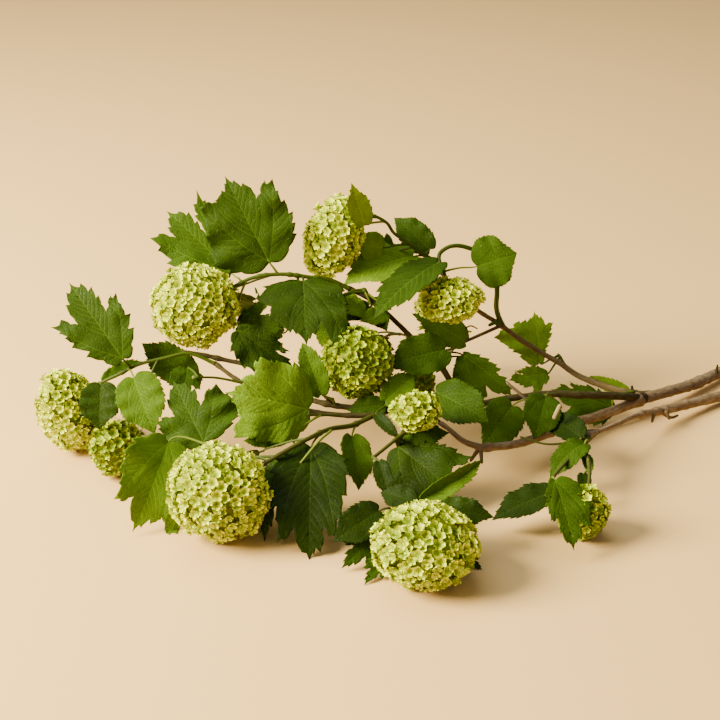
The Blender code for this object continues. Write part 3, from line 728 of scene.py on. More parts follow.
@dataclass
class LeafPlan:
    """A blade laid flat: its toothed outline and its veins, all as shares of its length."""

    LOBED_TEETH = (0.150, 0.048)   # from tooth to tooth, and their depth
    PLAIN_TEETH = (0.105, 0.030)
    VEIN_STEP = 0.03
    CLEAR = 0.028              # how near another vein a side vein stops

    outline: Union[str, Lobes]
    width: float
    rng: random.Random

    def toothed(self, curve: Sequence[Vector], outward: float, bare: tuple[float, float]) -> list[Point]:
        """Cut forward-pointing teeth into a stretch of the margin.

        Args:
            curve: The stretch, in the direction in which its teeth point.
            outward: 1 where the blade's outside is on the left of that direction, -1 on the right.
            bare: Shares of the stretch without teeth at its start and its end.

        Returns:
            The toothed stretch's points.
        """
        line = np.array([tuple(p) for p in curve])
        far = lengths_along(line)

        def at(distance: float, lift: float) -> tuple[float, float]:
            """Give the point at a distance along the stretch, lifted off it."""
            here, before, after = (np.array([np.interp(d, far, line[:, 0]), np.interp(d, far, line[:, 1])])
                                   for d in (distance, max(0.0, distance - 0.01), min(far[-1], distance + 0.01)))
            ahead = (after - before) / max(np.linalg.norm(after - before), 1e-9)
            x, y = here + lift * outward * np.array([-ahead[1], ahead[0]])
            return float(x), float(y)

        gap, depth = self.PLAIN_TEETH if isinstance(self.outline, str) else self.LOBED_TEETH
        first, last = bare[0] * far[-1], (1 - bare[1]) * far[-1]
        made = [at(d, 0.0) for d in np.linspace(0, first, max(2, round(first / 0.035)), endpoint=False)]
        spot = first
        while spot < last - 0.3 * gap:
            step = min(gap * self.rng.uniform(0.6, 1.35), last - spot)
            deep = depth * self.rng.uniform(0.55, 1.25) * min(1.0, step / gap + 0.1)
            made += [at(spot, -0.35 * deep), at(spot + 0.35 * step, 0.16 * deep), at(spot + 0.65 * step, 0.42 * deep),
                     at(spot + 0.85 * step, 0.62 * deep), at(spot + 0.985 * step, 0.95 * deep)]
            spot += step
        made += [at(d, 0.0) for d in np.linspace(last, far[-1], max(2, round((far[-1] - last) / 0.03)))]
        return made

    def pointed(self, curve: list[Vector], share: float, depth: float, outward: float) -> list[Vector]:
        """Draw a stretch in toward the blade near its end, so that it runs out in a drawn-out point.

        Args:
            curve: The stretch, which ends at the point.
            share: Share of it that is drawn in.
            depth: How far, as a share of the blade's length.
            outward: 1 where the blade's outside is on the left, -1 on the right.

        Returns:
            The new stretch.
        """
        line = np.array([tuple(p) for p in curve])
        far = lengths_along(line) / lengths_along(line)[-1]
        ahead = np.gradient(line, axis=0)
        ahead /= np.maximum(np.linalg.norm(ahead, axis=1), 1e-9)[:, None]
        inward = outward * np.stack([ahead[:, 1], -ahead[:, 0]], axis=1)
        t = np.clip((far - (1 - share)) / share, 0, 1)
        line = line + inward * (depth * np.sin(math.pi * t ** 0.8))[:, None]
        return [Vector(p) for p in line]

    def side(self, side: int) -> list[tuple[float, float]]:
        """Give one side's margin from the foot to the tip."""
        knots = [Vector((0.0, 0.0))] + [Vector((x, y * self.width)) for x, y in half_outline(self.outline, side)]
        tip = Vector((1.03, 0.0))
        if isinstance(self.outline, str):
            line = self.pointed(smooth_route(knots + [tip], 0.012), 0.20, 0.018, 1.0)
            made = self.toothed(line, 1.0, (0.26, 0.10))
        else:
            lobe, notch, waist = knots[5] * 1.06, knots[6] * 0.97, knots[7]
            middle = (lobe + notch) / 2 + Vector((notch.x - lobe.x, notch.y - lobe.y)).orthogonal() * 0.12
            belly = Vector((notch.x + 0.42 * (0.85 - notch.x), notch.y * 1.03 + 0.008))
            outer = self.pointed(smooth_route(knots[:5] + [lobe], 0.012), 0.28, 0.026, 1.0)
            back = self.pointed(smooth_route([notch, middle, lobe], 0.012), 0.45, 0.016, -1.0)
            front = smooth_route([notch, belly, Vector((0.86, 0.85 * waist.y)), Vector((0.955, 0.020)), tip], 0.012)
            made = self.toothed(outer, 1.0, (0.28, 0.13))
            made += self.toothed(back, -1.0, (0.25, 0.30))[::-1][1:]
            made += self.toothed(front, 1.0, (0.16, 0.26))[1:]
        return [(x, side * y) for x, y in made]

    def main_veins(self) -> list[Vein]:
        """Give the midrib and, on a lobed blade, the two veins into its side lobes."""
        veins = [Vein(np.array([(s, 0.0) for s in np.linspace(-0.005, 0.985, 34)]), 0.0075, 0.0022)]
        if not isinstance(self.outline, str):
            for side in (1, -1):
                tip = Vector(half_outline(self.outline, side)[4])
                tip = Vector((tip.x, side * tip.y * self.width)) * 0.965
                bow = Vector((-tip.y, tip.x)) * 0.035 * side
                line = smooth_route([Vector((0.0, 0.0)), tip * 0.5 - bow * -1.0, tip], self.VEIN_STEP)
                veins.append(Vein(np.array([tuple(p) for p in line]), 0.0060, 0.0020))
        return veins

    def side_veins(self, parent: Vein, shares: Sequence[float], turn: float, loop: np.ndarray,
                   others: list[Vein]) -> list[Vein]:
        """Trace the veins that leave one side of another, each to the margin or short of the next vein.

        Args:
            parent: The vein they leave.
            shares: Where they leave it, as shares of its length.
            turn: Degrees from the parent, to the left where positive.
            loop: The blade's margin.
            others: The veins laid so far, the parent among them.

        Returns:
            The new veins.
        """
        made: list[Vein] = []
        far = lengths_along(parent.points)
        for share in shares:
            spot = np.array([np.interp(share * far[-1], far, parent.points[:, k]) for k in (0, 1)])
            near = np.searchsorted(far, share * far[-1])
            ahead = parent.points[min(near + 1, len(far) - 1)] - parent.points[max(near - 1, 0)]
            angle = math.atan2(ahead[1], ahead[0]) + math.radians(turn * self.rng.uniform(0.92, 1.08))
            line = [spot]
            for step in range(26):
                angle -= math.radians(turn) * 0.045
                spot = spot + self.VEIN_STEP * np.array([math.cos(angle), math.sin(angle)])
                if not inside(spot[None], loop)[0]:
                    break
                if any(vein is not parent and distance_to_line(spot[None], vein.points)[0][0] < self.CLEAR
                       for vein in others + made):
                    break
                line.append(spot)
            if len(line) > 2:
                made.append(Vein(np.array(line), 0.0034, 0.0012))
        return made

    def veins(self, loop: np.ndarray) -> list[Vein]:
        """Give all the veins."""
        laid = self.main_veins()
        midrib = laid[0]
        if isinstance(self.outline, str):
            shares = [0.05 + 0.085 * i for i in range(10)]
            for turn, shift in ((48, 0.0), (-48, 0.03)):
                laid += self.side_veins(midrib, [s + shift for s in shares], turn, loop, list(laid))
            return laid
        for i, side in ((1, 1), (2, -1)):
            laid += self.side_veins(laid[i], [0.08 + 0.105 * k for k in range(8)], 46 * side, loop, list(laid))
        for turn, shift in ((42, 0.0), (-42, 0.03)):
            laid += self.side_veins(midrib, [0.27 + 0.078 * k + shift for k in range(9)], turn, loop, list(laid))
        for i, side in ((1, 1), (2, -1)):
            laid += self.side_veins(laid[i], [0.38 + 0.11 * k for k in range(5)], -40 * side, loop, list(laid))
        return laid

    def mesh(self, spacing: float) -> tuple[np.ndarray, np.ndarray, np.ndarray, np.ndarray]:
        """Divide the flat blade into triangles that follow its margin and its veins.

        Args:
            spacing: Distance between the points inside, as a share of the length.

        Returns:
            The points, the triangles, each triangle's place in a vein (True) or between, and each point's distance
            from the middle of the nearest vein.
        """
        upper, lower = self.side(1), self.side(-1)
        loop = np.array(upper + lower[::-1][1:-1])
        veins = self.veins(loop)
        points = [tuple(p) for p in loop]
        edges = [(i, (i + 1) % len(loop)) for i in range(len(loop))]
        for vein in veins:
            edge = vein.edge()
            first = len(points)
            points += [tuple(p) for p in edge]
            edges += [(first + i, first + (i + 1) % len(edge)) for i in range(len(edge))]
        low, high = loop.min(0), loop.max(0)
        rows = np.arange(low[1], high[1], spacing * 0.866)
        grid = np.array([(x + (0.5 * spacing if i % 2 else 0.0), y) for i, y in enumerate(rows)
                         for x in np.arange(low[0], high[0], spacing)])
        grid = grid + np.array([[self.rng.uniform(-0.08, 0.08) * spacing for _ in (0, 1)] for _ in grid])
        grid = grid[inside(grid, loop)]
        rim = distance_to_line(grid, np.vstack([loop, loop[:1]]))[0]
        near = np.min([distance_to_line(grid, vein.points)[0] - vein.start for vein in veins], axis=0)
        grid = grid[(rim > 0.45 * spacing) & (near > 0.4 * spacing)]
        points += [tuple(p) for p in grid]
        flat, _, faces, _, _, _ = geometry.delaunay_2d_cdt([Vector(p) for p in points], edges, [], 1, 1e-5)
        flat = np.array([tuple(p) for p in flat])
        faces = np.array([f for f in faces if len(f) == 3])
        middles = flat[faces].mean(1)
        keep = inside(middles, loop)
        faces, middles = faces[keep], middles[keep]
        a, b, c = (flat[faces[:, k]] for k in range(3))
        area = (b[:, 0] - a[:, 0]) * (c[:, 1] - a[:, 1]) - (b[:, 1] - a[:, 1]) * (c[:, 0] - a[:, 0])
        faces[area > 0] = faces[area > 0][:, ::-1]
        in_vein = np.min([vein.covers(middles) for vein in veins], axis=0) < 1.0
        gap = np.min([distance_to_line(flat, vein.points)[0] for vein in veins], axis=0)
        return flat, faces, in_vein, gap


@dataclass
class Leaf:
    """A leaf: its place along the shoot, its stalk (length, heading, rise) and its blade.

    The blade is (length, heading, rise, roll), with its width as a share of the outline's own, the fold of its
    halves and the curl along its length in degrees, its outline, a name or its two sides' lobes, and its tone.
    """

    THICKNESS = 0.35
    QUILT = 0.012              # how high the blade stands between its veins, as a share of its length
    LOWEST = 0.75              # height over the layout's zero below which the surface holds the blade up, mm

    at: float
    stalk: tuple[float, float, float]
    blade: tuple[float, float, float, float]
    width: float
    fold: float
    curl: float
    outline: Union[str, Lobes]
    tone: Tone

    def foot(self, root: Vector) -> Vector:
        """Give the point where the stalk meets the blade."""
        return root + direction(*self.stalk[1:]) * self.stalk[0]

    def bent(self, flat: np.ndarray, lift: np.ndarray) -> np.ndarray:
        """Curl, fold and cup the flat blade as the source does, with a lift off its surface.

        Args:
            flat: Points along and across, as shares of the length.
            lift: Height over the sheet at each point in mm.

        Returns:
            Points along the chord, across and up, in mm.
        """
        length = self.blade[0]
        turn = math.radians(self.curl)
        arc = length * (turn / 2) / math.sin(turn / 2)
        s, v = flat[:, 0] * arc, flat[:, 1] * length
        angle = turn * (0.5 - s / arc)
        x = arc / turn * (math.sin(turn / 2) - np.sin(angle))
        z = arc / turn * (np.cos(angle) - math.cos(turn / 2))
        soft = np.sqrt(v * v + (0.02 * length) ** 2) - 0.02 * length
        up = soft * math.sin(math.radians(self.fold)) - LEAF_CUP * v * v / length + lift
        return np.stack([x - np.sin(angle) * up, v * math.cos(math.radians(self.fold)), z + np.cos(angle) * up], 1)

    def build(self, builder: MeshBuilder, foot: Vector, slots: tuple[int, int], seed: str) -> None:
        """Add the blade's upper sheet.

        Args:
            builder: What it is added to.
            foot: The point where the stalk meets the blade.
            slots: Material slots between the veins and on them.
            seed: Name from which the blade's own teeth and waves come.
        """
        rng = random.Random(seed)
        length, heading, rise, roll = self.blade
        along, up, across = blade_axes(heading, rise, roll)
        plan = LeafPlan(self.outline, self.width, rng)
        flat, faces, in_vein, gap = plan.mesh(max(0.022, 1.15 / length))
        quilt = self.QUILT * length * (1 - np.exp(-gap * length / (0.024 * length + 0.4)))
        beat = rng.uniform(2.0, 3.6)
        side = np.abs(flat[:, 1]) / 0.45
        sway = np.sin(2 * math.pi * beat * flat[:, 0] + rng.uniform(0, 6.28) + (flat[:, 1] > 0) * rng.uniform(0, 6.28))
        wave = rng.uniform(0.024, 0.042) * length * side ** 1.4 * sway
        droop = -0.03 * length * np.clip((flat[:, 0] - 0.72) / 0.28, 0, 1) ** 2
        local = self.bent(flat, quilt + wave + droop)
        points = (np.array(foot) + local[:, :1] * np.array(along) + local[:, 1:2] * np.array(across)
                  + local[:, 2:] * np.array(up))
        points[:, 2] = np.maximum(points[:, 2], self.LOWEST)
        offset = np.array([rng.uniform(0, 40), rng.uniform(0, 40)])
        builder.add(points, faces, np.where(in_vein, slots[1], slots[0]), marks=gap, chart=flat * length / 10 + offset)

    def stalk_route(self, root: Vector, foot: Vector) -> list[Vector]:
        """Give the stalk's centre line, from inside the shoot to under the blade's midrib."""
        along, up, _ = blade_axes(*self.blade[1:])
        reach = (foot - root).length
        lift = (0.05 - 0.0022 * max(0.0, reach - 30)) * reach
        middle = (root + foot) / 2 - along * 0.6 * PETIOLE_BOW * reach + Vector((0, 0, lift))
        end = foot + along * 0.05 * self.blade[0] - up * 0.40
        points = [root, middle, foot - up * 0.35, end]
        for point in points:
            point.z = max(point.z, 1.4)
        return smooth_route(points, 1.6)


@dataclass
class Limb:
    """A woody limb: what it leaves and where, its start and end radius, the source's sides, its route and bark."""

    STEP = 1.7
    KNOT_GAP = (22.0, 42.0)    # between leaf scars, mm

    parent: Optional[str]
    at: float
    radii: tuple[float, float]
    sides: int
    route: list[Point]
    bark: str
    knobs: tuple[tuple[float, float, float], ...] = ()

    def way(self, grown: dict[str, tuple]) -> list[Vector]:
        """Give the limb's way-points from just clear of what it leaves."""
        points = [Vector(p) for p in self.route]
        return leave(grown[self.parent], self.at, points[0]) + points if self.parent else points

    def swell(self, far: np.ndarray, name: str, parent_radius: float) -> np.ndarray:
        """Give how many times thicker than its taper the limb is along its length.

        Args:
            far: Distances along the limb in mm.
            name: Its name, from which its leaf scars come.
            parent_radius: Radius of the limb that it leaves, or 0.

        Returns:
            A factor for each distance.
        """
        rng = random.Random(name)
        swell = np.ones(len(far))
        spot = rng.uniform(*self.KNOT_GAP)
        while spot < far[-1] - 6:
            swell += rng.uniform(0.07, 0.17) * np.exp(-((far - spot) / rng.uniform(1.6, 2.6)) ** 2)
            spot += rng.uniform(*self.KNOT_GAP)
        for share, size, spread in self.knobs:
            swell += size * np.exp(-((far - share * far[-1]) / spread) ** 2)
        if parent_radius:
            swell += 0.30 * np.exp(-far / (1.6 * parent_radius))
        return swell

    def build(self, name: str, grown: dict[str, tuple], palette: Palette) -> bpy.types.Object:
        """Make the limb with its bark: a curve with its own thickness all along, turned into a mesh.

        Args:
            name: The limb's name in the source.
            grown: Routes and radii of what has grown so far; the limb's is in it.
            palette: The materials.

        Returns:
            The limb's piece.
        """
        points = self.way(grown)
        parent_radius = 0.0
        if self.parent:
            start, end = grown[self.parent][1:]
            parent_radius = start + (end - start) * min(self.at, 1.0)
            points = [rooted(grown[self.parent], self.at)] + points[2:]
        route = smooth_route(points, self.STEP)
        line = np.array([tuple(p) for p in route])
        far = lengths_along(line)
        start, end = self.radii
        radius = (start + (end - start) * far / far[-1]) * self.swell(far, name, parent_radius)
        left = np.clip((far[-1] - far) / (0.9 * end), 0, 1)
        radius *= np.sqrt(np.clip(1 - (1 - left) ** 2, 0.10, 1))
        bpy.ops.object.select_all(action="DESELECT")
        bpy.ops.curve.primitive_bezier_curve_add()
        guide = bpy.context.object
        guide.name = name + "_bark"
        shape = guide.data
        shape.splines.clear()
        spline = shape.splines.new("POLY")
        spline.points.add(len(route) - 1)
        for spot, place, thick in zip(spline.points, route, radius):
            spot.co = (*((place + PLANT_SHIFT) * MM), 1.0)
            spot.radius = thick
        shape.bevel_depth = MM
        shape.bevel_resolution = 8 if start > 3 else 5
        shape.use_fill_caps = True
        bpy.ops.object.convert(target="MESH")
        item = bpy.context.object
        self.close_and_chart(item, far[-1], (start + end) / 2)
        self.roughen(item, (start + end) / 2)
        self.dress(item, palette, line, cut=not self.parent)
        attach(item, ROOT_BODY)
        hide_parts(name)
        return item

    def close_and_chart(self, item: bpy.types.Object, length: float, radius: float) -> None:
        """Join the ends on and scale the UV map to centimetres round and along the limb."""
        only(item)
        bpy.ops.object.mode_set(mode="EDIT")
        bpy.ops.mesh.select_all(action="SELECT")
        bpy.ops.mesh.remove_doubles(threshold=1e-6)
        bpy.ops.mesh.normals_make_consistent(inside=False)
        bpy.ops.object.mode_set(mode="OBJECT")
        chart = item.data.uv_layers[0]
        chart.name = "surface"
        spots = np.zeros(len(item.data.loops) * 2)
        chart.data.foreach_get("uv", spots)
        spots = spots.reshape(-1, 2) * np.array([length / 10, 2 * math.pi * radius / 10])
        chart.data.foreach_set("uv", spots[:, ::-1].astype(np.float32).ravel())

    def roughen(self, item: bpy.types.Object, radius: float) -> None:
        """Press the bark's furrows and lumps into the limb."""
        for label, size, depth in (("lumps", 0.0090, 0.060), ("furrows", 0.0020, 0.035)):
            texture = bpy.data.textures.new(f"{item.name}_{label}", "CLOUDS")
            texture.noise_scale = size
            texture.noise_depth = 2
            press = item.modifiers.new(label, "DISPLACE")
            press.texture = texture
            press.texture_coords = "LOCAL"
            press.strength = 2 * depth * radius * MM
            press.mid_level = 0.6
            only(item)
            bpy.ops.object.modifier_apply(modifier=press.name)
        bpy.ops.object.shade_smooth()

    def dress(self, item: bpy.types.Object, palette: Palette, line: np.ndarray, cut: bool) -> None:
        """Give the limb its bark and, where it was cut off, a face of pale wood with its pith."""
        item.data.materials.clear()
        item.data.materials.append(palette.get(self.bark))
        if not cut:
            return
        item.data.materials.append(palette.get("cut_wood"))
        item.data.materials.append(palette.get("pith"))
        ahead = Vector(line[0] - line[1]).normalized()
        place = (Vector(line[0]) + PLANT_SHIFT) * MM
        only(item)
        bpy.ops.object.mode_set(mode="EDIT")
        bpy.ops.mesh.select_all(action="DESELECT")
        bpy.ops.mesh.select_mode(type="FACE")
        bpy.ops.object.mode_set(mode="OBJECT")
        for face in item.data.polygons:
            face.select = face.normal.dot(ahead) > 0.8 and (face.center - place).length < 1.2 * self.radii[0] * MM
        bpy.ops.object.mode_set(mode="EDIT")
        bpy.ops.mesh.inset(thickness=0.09 * self.radii[0] * MM)
        for slot, thickness in ((1, 0.66), (2, 0.0)):
            item.active_material_index = slot
            bpy.ops.object.material_slot_assign()
            if thickness:
                bpy.ops.mesh.inset(thickness=thickness * self.radii[0] * MM)
        bpy.ops.object.mode_set(mode="OBJECT")


def leave(parent: tuple[list[Vector], float, float], share: float, toward: Vector) -> list[Vector]:
    """Give the first two points of what leaves a limb toward a point, just clear of its bark.

    Args:
        parent: The limb's route, start radius and end radius.
        share: Where along it; from its very tip the growth carries straight on.
        toward: The point that the growth makes for.

    Returns:
        The two points.
    """
    route, start, end = parent
    point, along = station(route, share)
    if share >= 1.0:
        return [point + along * GAP, point + along * (GAP + STUB)]
    out = toward - point
    out = (out - along * out.dot(along)).normalized()
    reach = start + (end - start) * share + GAP
    return [point + out * reach, point + out * (reach + STUB)]


def rooted(parent: tuple[list[Vector], float, float], share: float) -> Vector:
    """Give the point inside a limb from which a side limb at this share of it parts at a slant."""
    route, start, end = parent
    spot, along = station(route, min(share, 1.0))
    return spot - along * 1.6 * (start + (end - start) * min(share, 1.0))


@dataclass
class Bloom:
    """A flower ball: its centre, its radii across, deep and high, its lean in degrees, and its flowers' ages.

    The ages are the shares of its flowers that are cream and lime; the rest are still green.
    """

    SPACING = 7.0              # between flowers, mm
    REACH = 3.85               # a flower's radius, mm
    LAYERS = ((1.0, 1.0), (0.87, 1.0))   # how far out the flowers sit and their size, from the top layer in
    PATTERNS = 12              # flowers modelled, of which the rest are copies
    ROWS = ((0.0, 0.06, 0.0), (0.40, 0.28, 0.15), (0.76, 0.43, 0.42), (1.0, 0.28, 0.56))
    ACROSS = (-1.0, -0.36, 0.36, 1.0)
    LOWEST = 0.5

    centre: Point
    radii: tuple[float, float, float]
    lean: float
    ages: tuple[float, float] = (0.55, 0.4)

    def flower(self, rng: random.Random) -> tuple[np.ndarray, np.ndarray, np.ndarray]:
        """Model one flower of five cupped petals, a unit wide from its middle, facing +Z.

        Args:
            rng: Where its petals' own shapes come from.

        Returns:
            Its points, its four-cornered faces and each face's zone: 0 throat, 1 middle, 2 rim.
        """
        points, faces, zones = [], [], []
        cup = rng.uniform(0.75, 1.25)
        for petal in range(5):
            turn = 2 * math.pi * petal / 5 + rng.uniform(-0.09, 0.09)
            size, nod = rng.uniform(0.9, 1.08), rng.uniform(-0.06, 0.10)
            first = len(points)
            for reach, half, high in self.ROWS:
                for u in self.ACROSS:
                    x = (0.07 + 0.93 * reach) * size - 0.19 * u * u * reach ** 3
                    y = half * u * size
                    z = high * cup + 0.09 * u * u * reach + 0.07 * u * reach + nod * reach
                    points.append((x * math.cos(turn) - y * math.sin(turn), x * math.sin(turn) + y * math.cos(turn),
                                   z))
            for row in range(3):
                for k in range(3):
                    a = first + 4 * row + k
                    faces.append((a, a + 4, a + 5, a + 1))
                    zones.append(row)
        return np.array(points), np.array(faces), np.array(zones)

    def places(self, rng: random.Random) -> list[tuple[Vector, Vector]]:
        """Spread the flowers evenly over the ball and give each one's place and the way it faces."""
        rx, ry, rz = self.radii
        mean = (rx * ry * rz) ** (1 / 3)
        count = round(4 * math.pi * mean ** 2 / (0.866 * self.SPACING ** 2) * 1.02)
        lean = math.radians(self.lean)
        found = []
        for i in range(count):
            z = 1 - 2 * (i + 0.5) / count
            turn = GOLDEN_TURN * (i + 0.5) + rng.uniform(-0.09, 0.09)
            flat = math.sqrt(max(0.0, 1 - z * z))
            unit = Vector((flat * math.cos(turn), flat * math.sin(turn), z))
            spot = Vector((rx * unit.x, ry * unit.y, rz * unit.z)) * self.lump(unit, rng)
            face = Vector((unit.x / rx, unit.y / ry, unit.z / rz)).normalized()
            turned = []
            for p in (spot, face):
                turned.append(Vector((p.x * math.cos(lean) + p.z * math.sin(lean), p.y,
                                      p.z * math.cos(lean) - p.x * math.sin(lean))))
            found.append((Vector(self.centre) + turned[0], turned[1]))
        return found

    def lump(self, unit: Vector, rng: random.Random) -> float:
        """Give how far out the ball reaches in a direction, against its even shape."""
        broad = noise.noise(unit * 2.3 + Vector(self.centre) * 0.05)
        return 0.95 + 0.11 * broad + rng.uniform(-0.04, 0.03)

    def core(self, name: str, palette: Palette) -> bpy.types.Object:
        """Model the dark inside of the ball, an egg with hollows, from a round primitive."""
        middle = (Vector(self.centre) + PLANT_SHIFT) * MM
        bpy.ops.object.select_all(action="DESELECT")
        bpy.ops.mesh.primitive_ico_sphere_add(subdivisions=4, radius=0.84 * MM)
        item = bpy.context.object
        item.name = name + "_core"
        bpy.ops.object.mode_set(mode="EDIT")
        bpy.ops.mesh.select_all(action="SELECT")
        bpy.ops.transform.resize(value=self.radii)
        bpy.ops.object.mode_set(mode="OBJECT")
        item.data.transform(Matrix.Translation(middle) @ Matrix.Rotation(math.radians(self.lean), 4, "Y"))
        item.data.uv_layers[0].name = "surface"
        texture = bpy.data.textures.new(name + "_hollows", "CLOUDS")
        texture.noise_scale = 0.005
        press = item.modifiers.new("hollows", "DISPLACE")
        press.texture = texture
        press.texture_coords = "LOCAL"
        press.strength = 3.0 * MM
        only(item)
        bpy.ops.object.modifier_apply(modifier=press.name)
        item.data.materials.append(palette.get("flower_core"))
        return item

    def build(self, name: str, palette: Palette) -> bpy.types.Object:
        """Make the ball: its core and all its flowers in one piece.

        Args:
            name: The ball's name in the source.
            palette: The materials.

        Returns:
            The ball's piece.
        """
        rng = random.Random(name)
        patterns = [self.flower(rng) for _ in range(self.PATTERNS)]
        builder = MeshBuilder()
        zones_of = {Petal.CREAM: 1, Petal.LIME: 4, Petal.GREEN: 7}
        layers = [(out, share, place) for out, share in self.LAYERS for place in self.places(rng)]
        for out, share, (spot, face) in layers:
            points, faces, zones = patterns[rng.randrange(self.PATTERNS)]
            age = rng.random() + (0.0 if out == 1.0 else 0.5)
            petal = (Petal.CREAM if age < self.ages[0] else
                     Petal.LIME if age < self.ages[0] + self.ages[1] else Petal.GREEN)
            lean = Vector((rng.gauss(0, 0.19), rng.gauss(0, 0.19), rng.gauss(0, 0.19)))
            spin = rng.uniform(0, 2 * math.pi)
            turn = (face + lean).to_track_quat("Z", "Y").to_matrix() @ Matrix.Rotation(spin, 3, "Z")
            size = self.REACH * share * rng.uniform(0.84, 1.14)
            spot = Vector(self.centre) + (spot - Vector(self.centre)) * out
            placed = (points * size) @ np.array(turn).T + np.array(spot - face * 1.6)
            placed[:, 2] = np.maximum(placed[:, 2], self.LOWEST)
            builder.add(placed, faces, zones + zones_of[petal])
        names = ["flower_core"] + [f"petal_{p.value}_{part}" for p in (Petal.CREAM, Petal.LIME, Petal.GREEN)
                                   for part in ("throat", "middle", "rim")]
        item = builder.make(name + "_flowers", [palette.get(n) for n in names])
        core = self.core(name, palette)
        only(core)
        bpy.ops.object.shade_smooth()
        item.select_set(True)
        bpy.context.view_layer.objects.active = item
        bpy.ops.object.join()
        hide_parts(name)
        return item

    def stop(self, start: Vector) -> Vector:
        """Give the point where a stalk from `start` toward the ball's middle stops, just clear of it."""
        centre = Vector(self.centre)
        lean = math.radians(self.lean)
        near, far = 0.0, 1.0
        for _ in range(40):
            share = (near + far) / 2
            off = (centre - start) * (share - 1)
            x = off.x * math.cos(lean) - off.z * math.sin(lean)
            z = off.x * math.sin(lean) + off.z * math.cos(lean)
            rx, ry, rz = (r + GAP + 0.05 for r in self.radii)
            if (x / rx) ** 2 + (off.y / ry) ** 2 + (z / rz) ** 2 < 1:
                far = share
            else:
                near = share
        return start.lerp(centre, near)


@dataclass
class Spray:
    """A shoot with its leaves: what it leaves and where, its radii, its route, the ball it carries, its leaves."""

    parent: str
    at: float
    radii: tuple[float, float]
    route: list[Point]
    bloom: Optional[str]
    leaves: list[Leaf]
    skin: Skin = Skin.GREEN
    sagging: tuple[Point, ...] = ()    # way-points of the stem itself where it hangs under its leaves

    def zone(self) -> Zone:
        """Tell which joined piece of twigs the shoot belongs to."""
        x = self.route[0][0]
        return Zone.LEFT if x < -60 else Zone.RIGHT if x > 60 else Zone.MIDDLE

    def grow(self, grown: dict[str, tuple], blooms: dict[str, Bloom]) -> tuple[list[Vector], list[Vector]]:
        """Give the shoot's way-points and the source's own smooth route through them."""
        points = [Vector(p) for p in self.route]
        points = leave(grown[self.parent], self.at, points[0]) + points
        if self.bloom:
            points.append(blooms[self.bloom].stop(Vector(self.route[-1])))
        return points, smooth_route(points)

    def stem(self, builder: MeshBuilder, points: list[Vector], grown: dict[str, tuple], blooms: dict[str, Bloom],
             slots: dict[str, int]) -> list[Vector]:
        """Add the shoot's stem, from inside what it leaves to inside the ball it carries.

        Args:
            builder: The joined twigs that it is added to.
            points: Its way-points.
            grown: Routes and radii of what has grown so far.
            blooms: The flower balls.
            slots: The builder's material slots by name.

        Returns:
            The stem's centre line.
        """
        points = [rooted(grown[self.parent], self.at)] + ([Vector(p) for p in self.sagging] or points[2:])
        if self.bloom:
            points.append(points[-1].lerp(Vector(blooms[self.bloom].centre), 0.5))
        line = smooth_route(points, 1.8)
        far = lengths_along(np.array([tuple(p) for p in line]))
        start, end = self.radii
        radius = start + (end - start) * far / far[-1]
        radius = radius * (1 + 0.45 * np.exp(-far / (1.5 * start)))
        for leaf in self.leaves:
            radius = radius * (1 + 0.42 * np.exp(-((far - leaf.at * far[-1]) / 1.6) ** 2))
        if not self.bloom:
            radius = radius * np.sqrt(np.clip(1 - np.clip(1 - (far[-1] - far) / (1.1 * end), 0, 1) ** 2, 0.08, 1))
        tube(builder, line, np.repeat(radius[:, None], 10, axis=1), slots[self.skin.value])
        return line

    def build(self, name: str, route: list[Vector], stem: list[Vector], twigs: MeshBuilder, slots: dict[str, int],
              palette: Palette) -> Optional[bpy.types.Object]:
        """Add the leaf stalks to the joined twigs and make the leaves' blades one piece.

        Args:
            name: The shoot's name in the source.
            route: The source's own route of the shoot.
            stem: The centre line of the shoot's stem.
            twigs: The joined twigs.
            slots: The twigs' material slots by name.
            palette: The materials.

        Returns:
            The leaves' piece, or none for a bare shoot.
        """
        if not self.leaves:
            return None
        tones = sorted({leaf.tone for leaf in self.leaves}, key=lambda tone: tone.value)
        builder = MeshBuilder()
        for number, leaf in enumerate(self.leaves):
            root, _ = station(route, leaf.at)
            foot = leaf.foot(root)
            line = leaf.stalk_route(min(stem, key=lambda p: (p - root).length), foot)
            far = lengths_along(np.array([tuple(p) for p in line]))
            thick = 1.0 + (0.62 - 1.0) * far / far[-1] + 0.5 * np.exp(-far / 1.6)
            thick *= np.where(far > far[-1] - 2.0, 0.55 + 0.45 * (far[-1] - far) / 2.0, 1.0)
            # The stalk takes the pale skin under the FRESH, BRIGHT and PALE leaf tones and the green one under the
            # rest, so it carries some of their painted light
            skin = slots[Skin.PALE.value if leaf.tone in (Tone.FRESH, Tone.BRIGHT, Tone.PALE) else Skin.GREEN.value]
            tube(twigs, line, np.repeat(thick[:, None], 8, axis=1), skin)
            first = 2 * tones.index(leaf.tone)
            leaf.build(builder, foot, (first, first + 1), f"{name} {number}")
        names = [f"{part}_{tone.value}" for tone in tones for part in ("leaf", "vein")]
        names += [f"{part}_{tone.value}" for tone in tones for part in ("under", "rib")]
        item = builder.make(name + "_blades", [palette.get(n) for n in names])
        body = item.modifiers.new("thickness", "SOLIDIFY")
        body.thickness = Leaf.THICKNESS * MM
        body.offset = 0.0
        body.material_offset = 2 * len(tones)
        body.material_offset_rim = 0
        only(item)
        bpy.ops.object.modifier_apply(modifier=body.name)
        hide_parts(name)
        return item


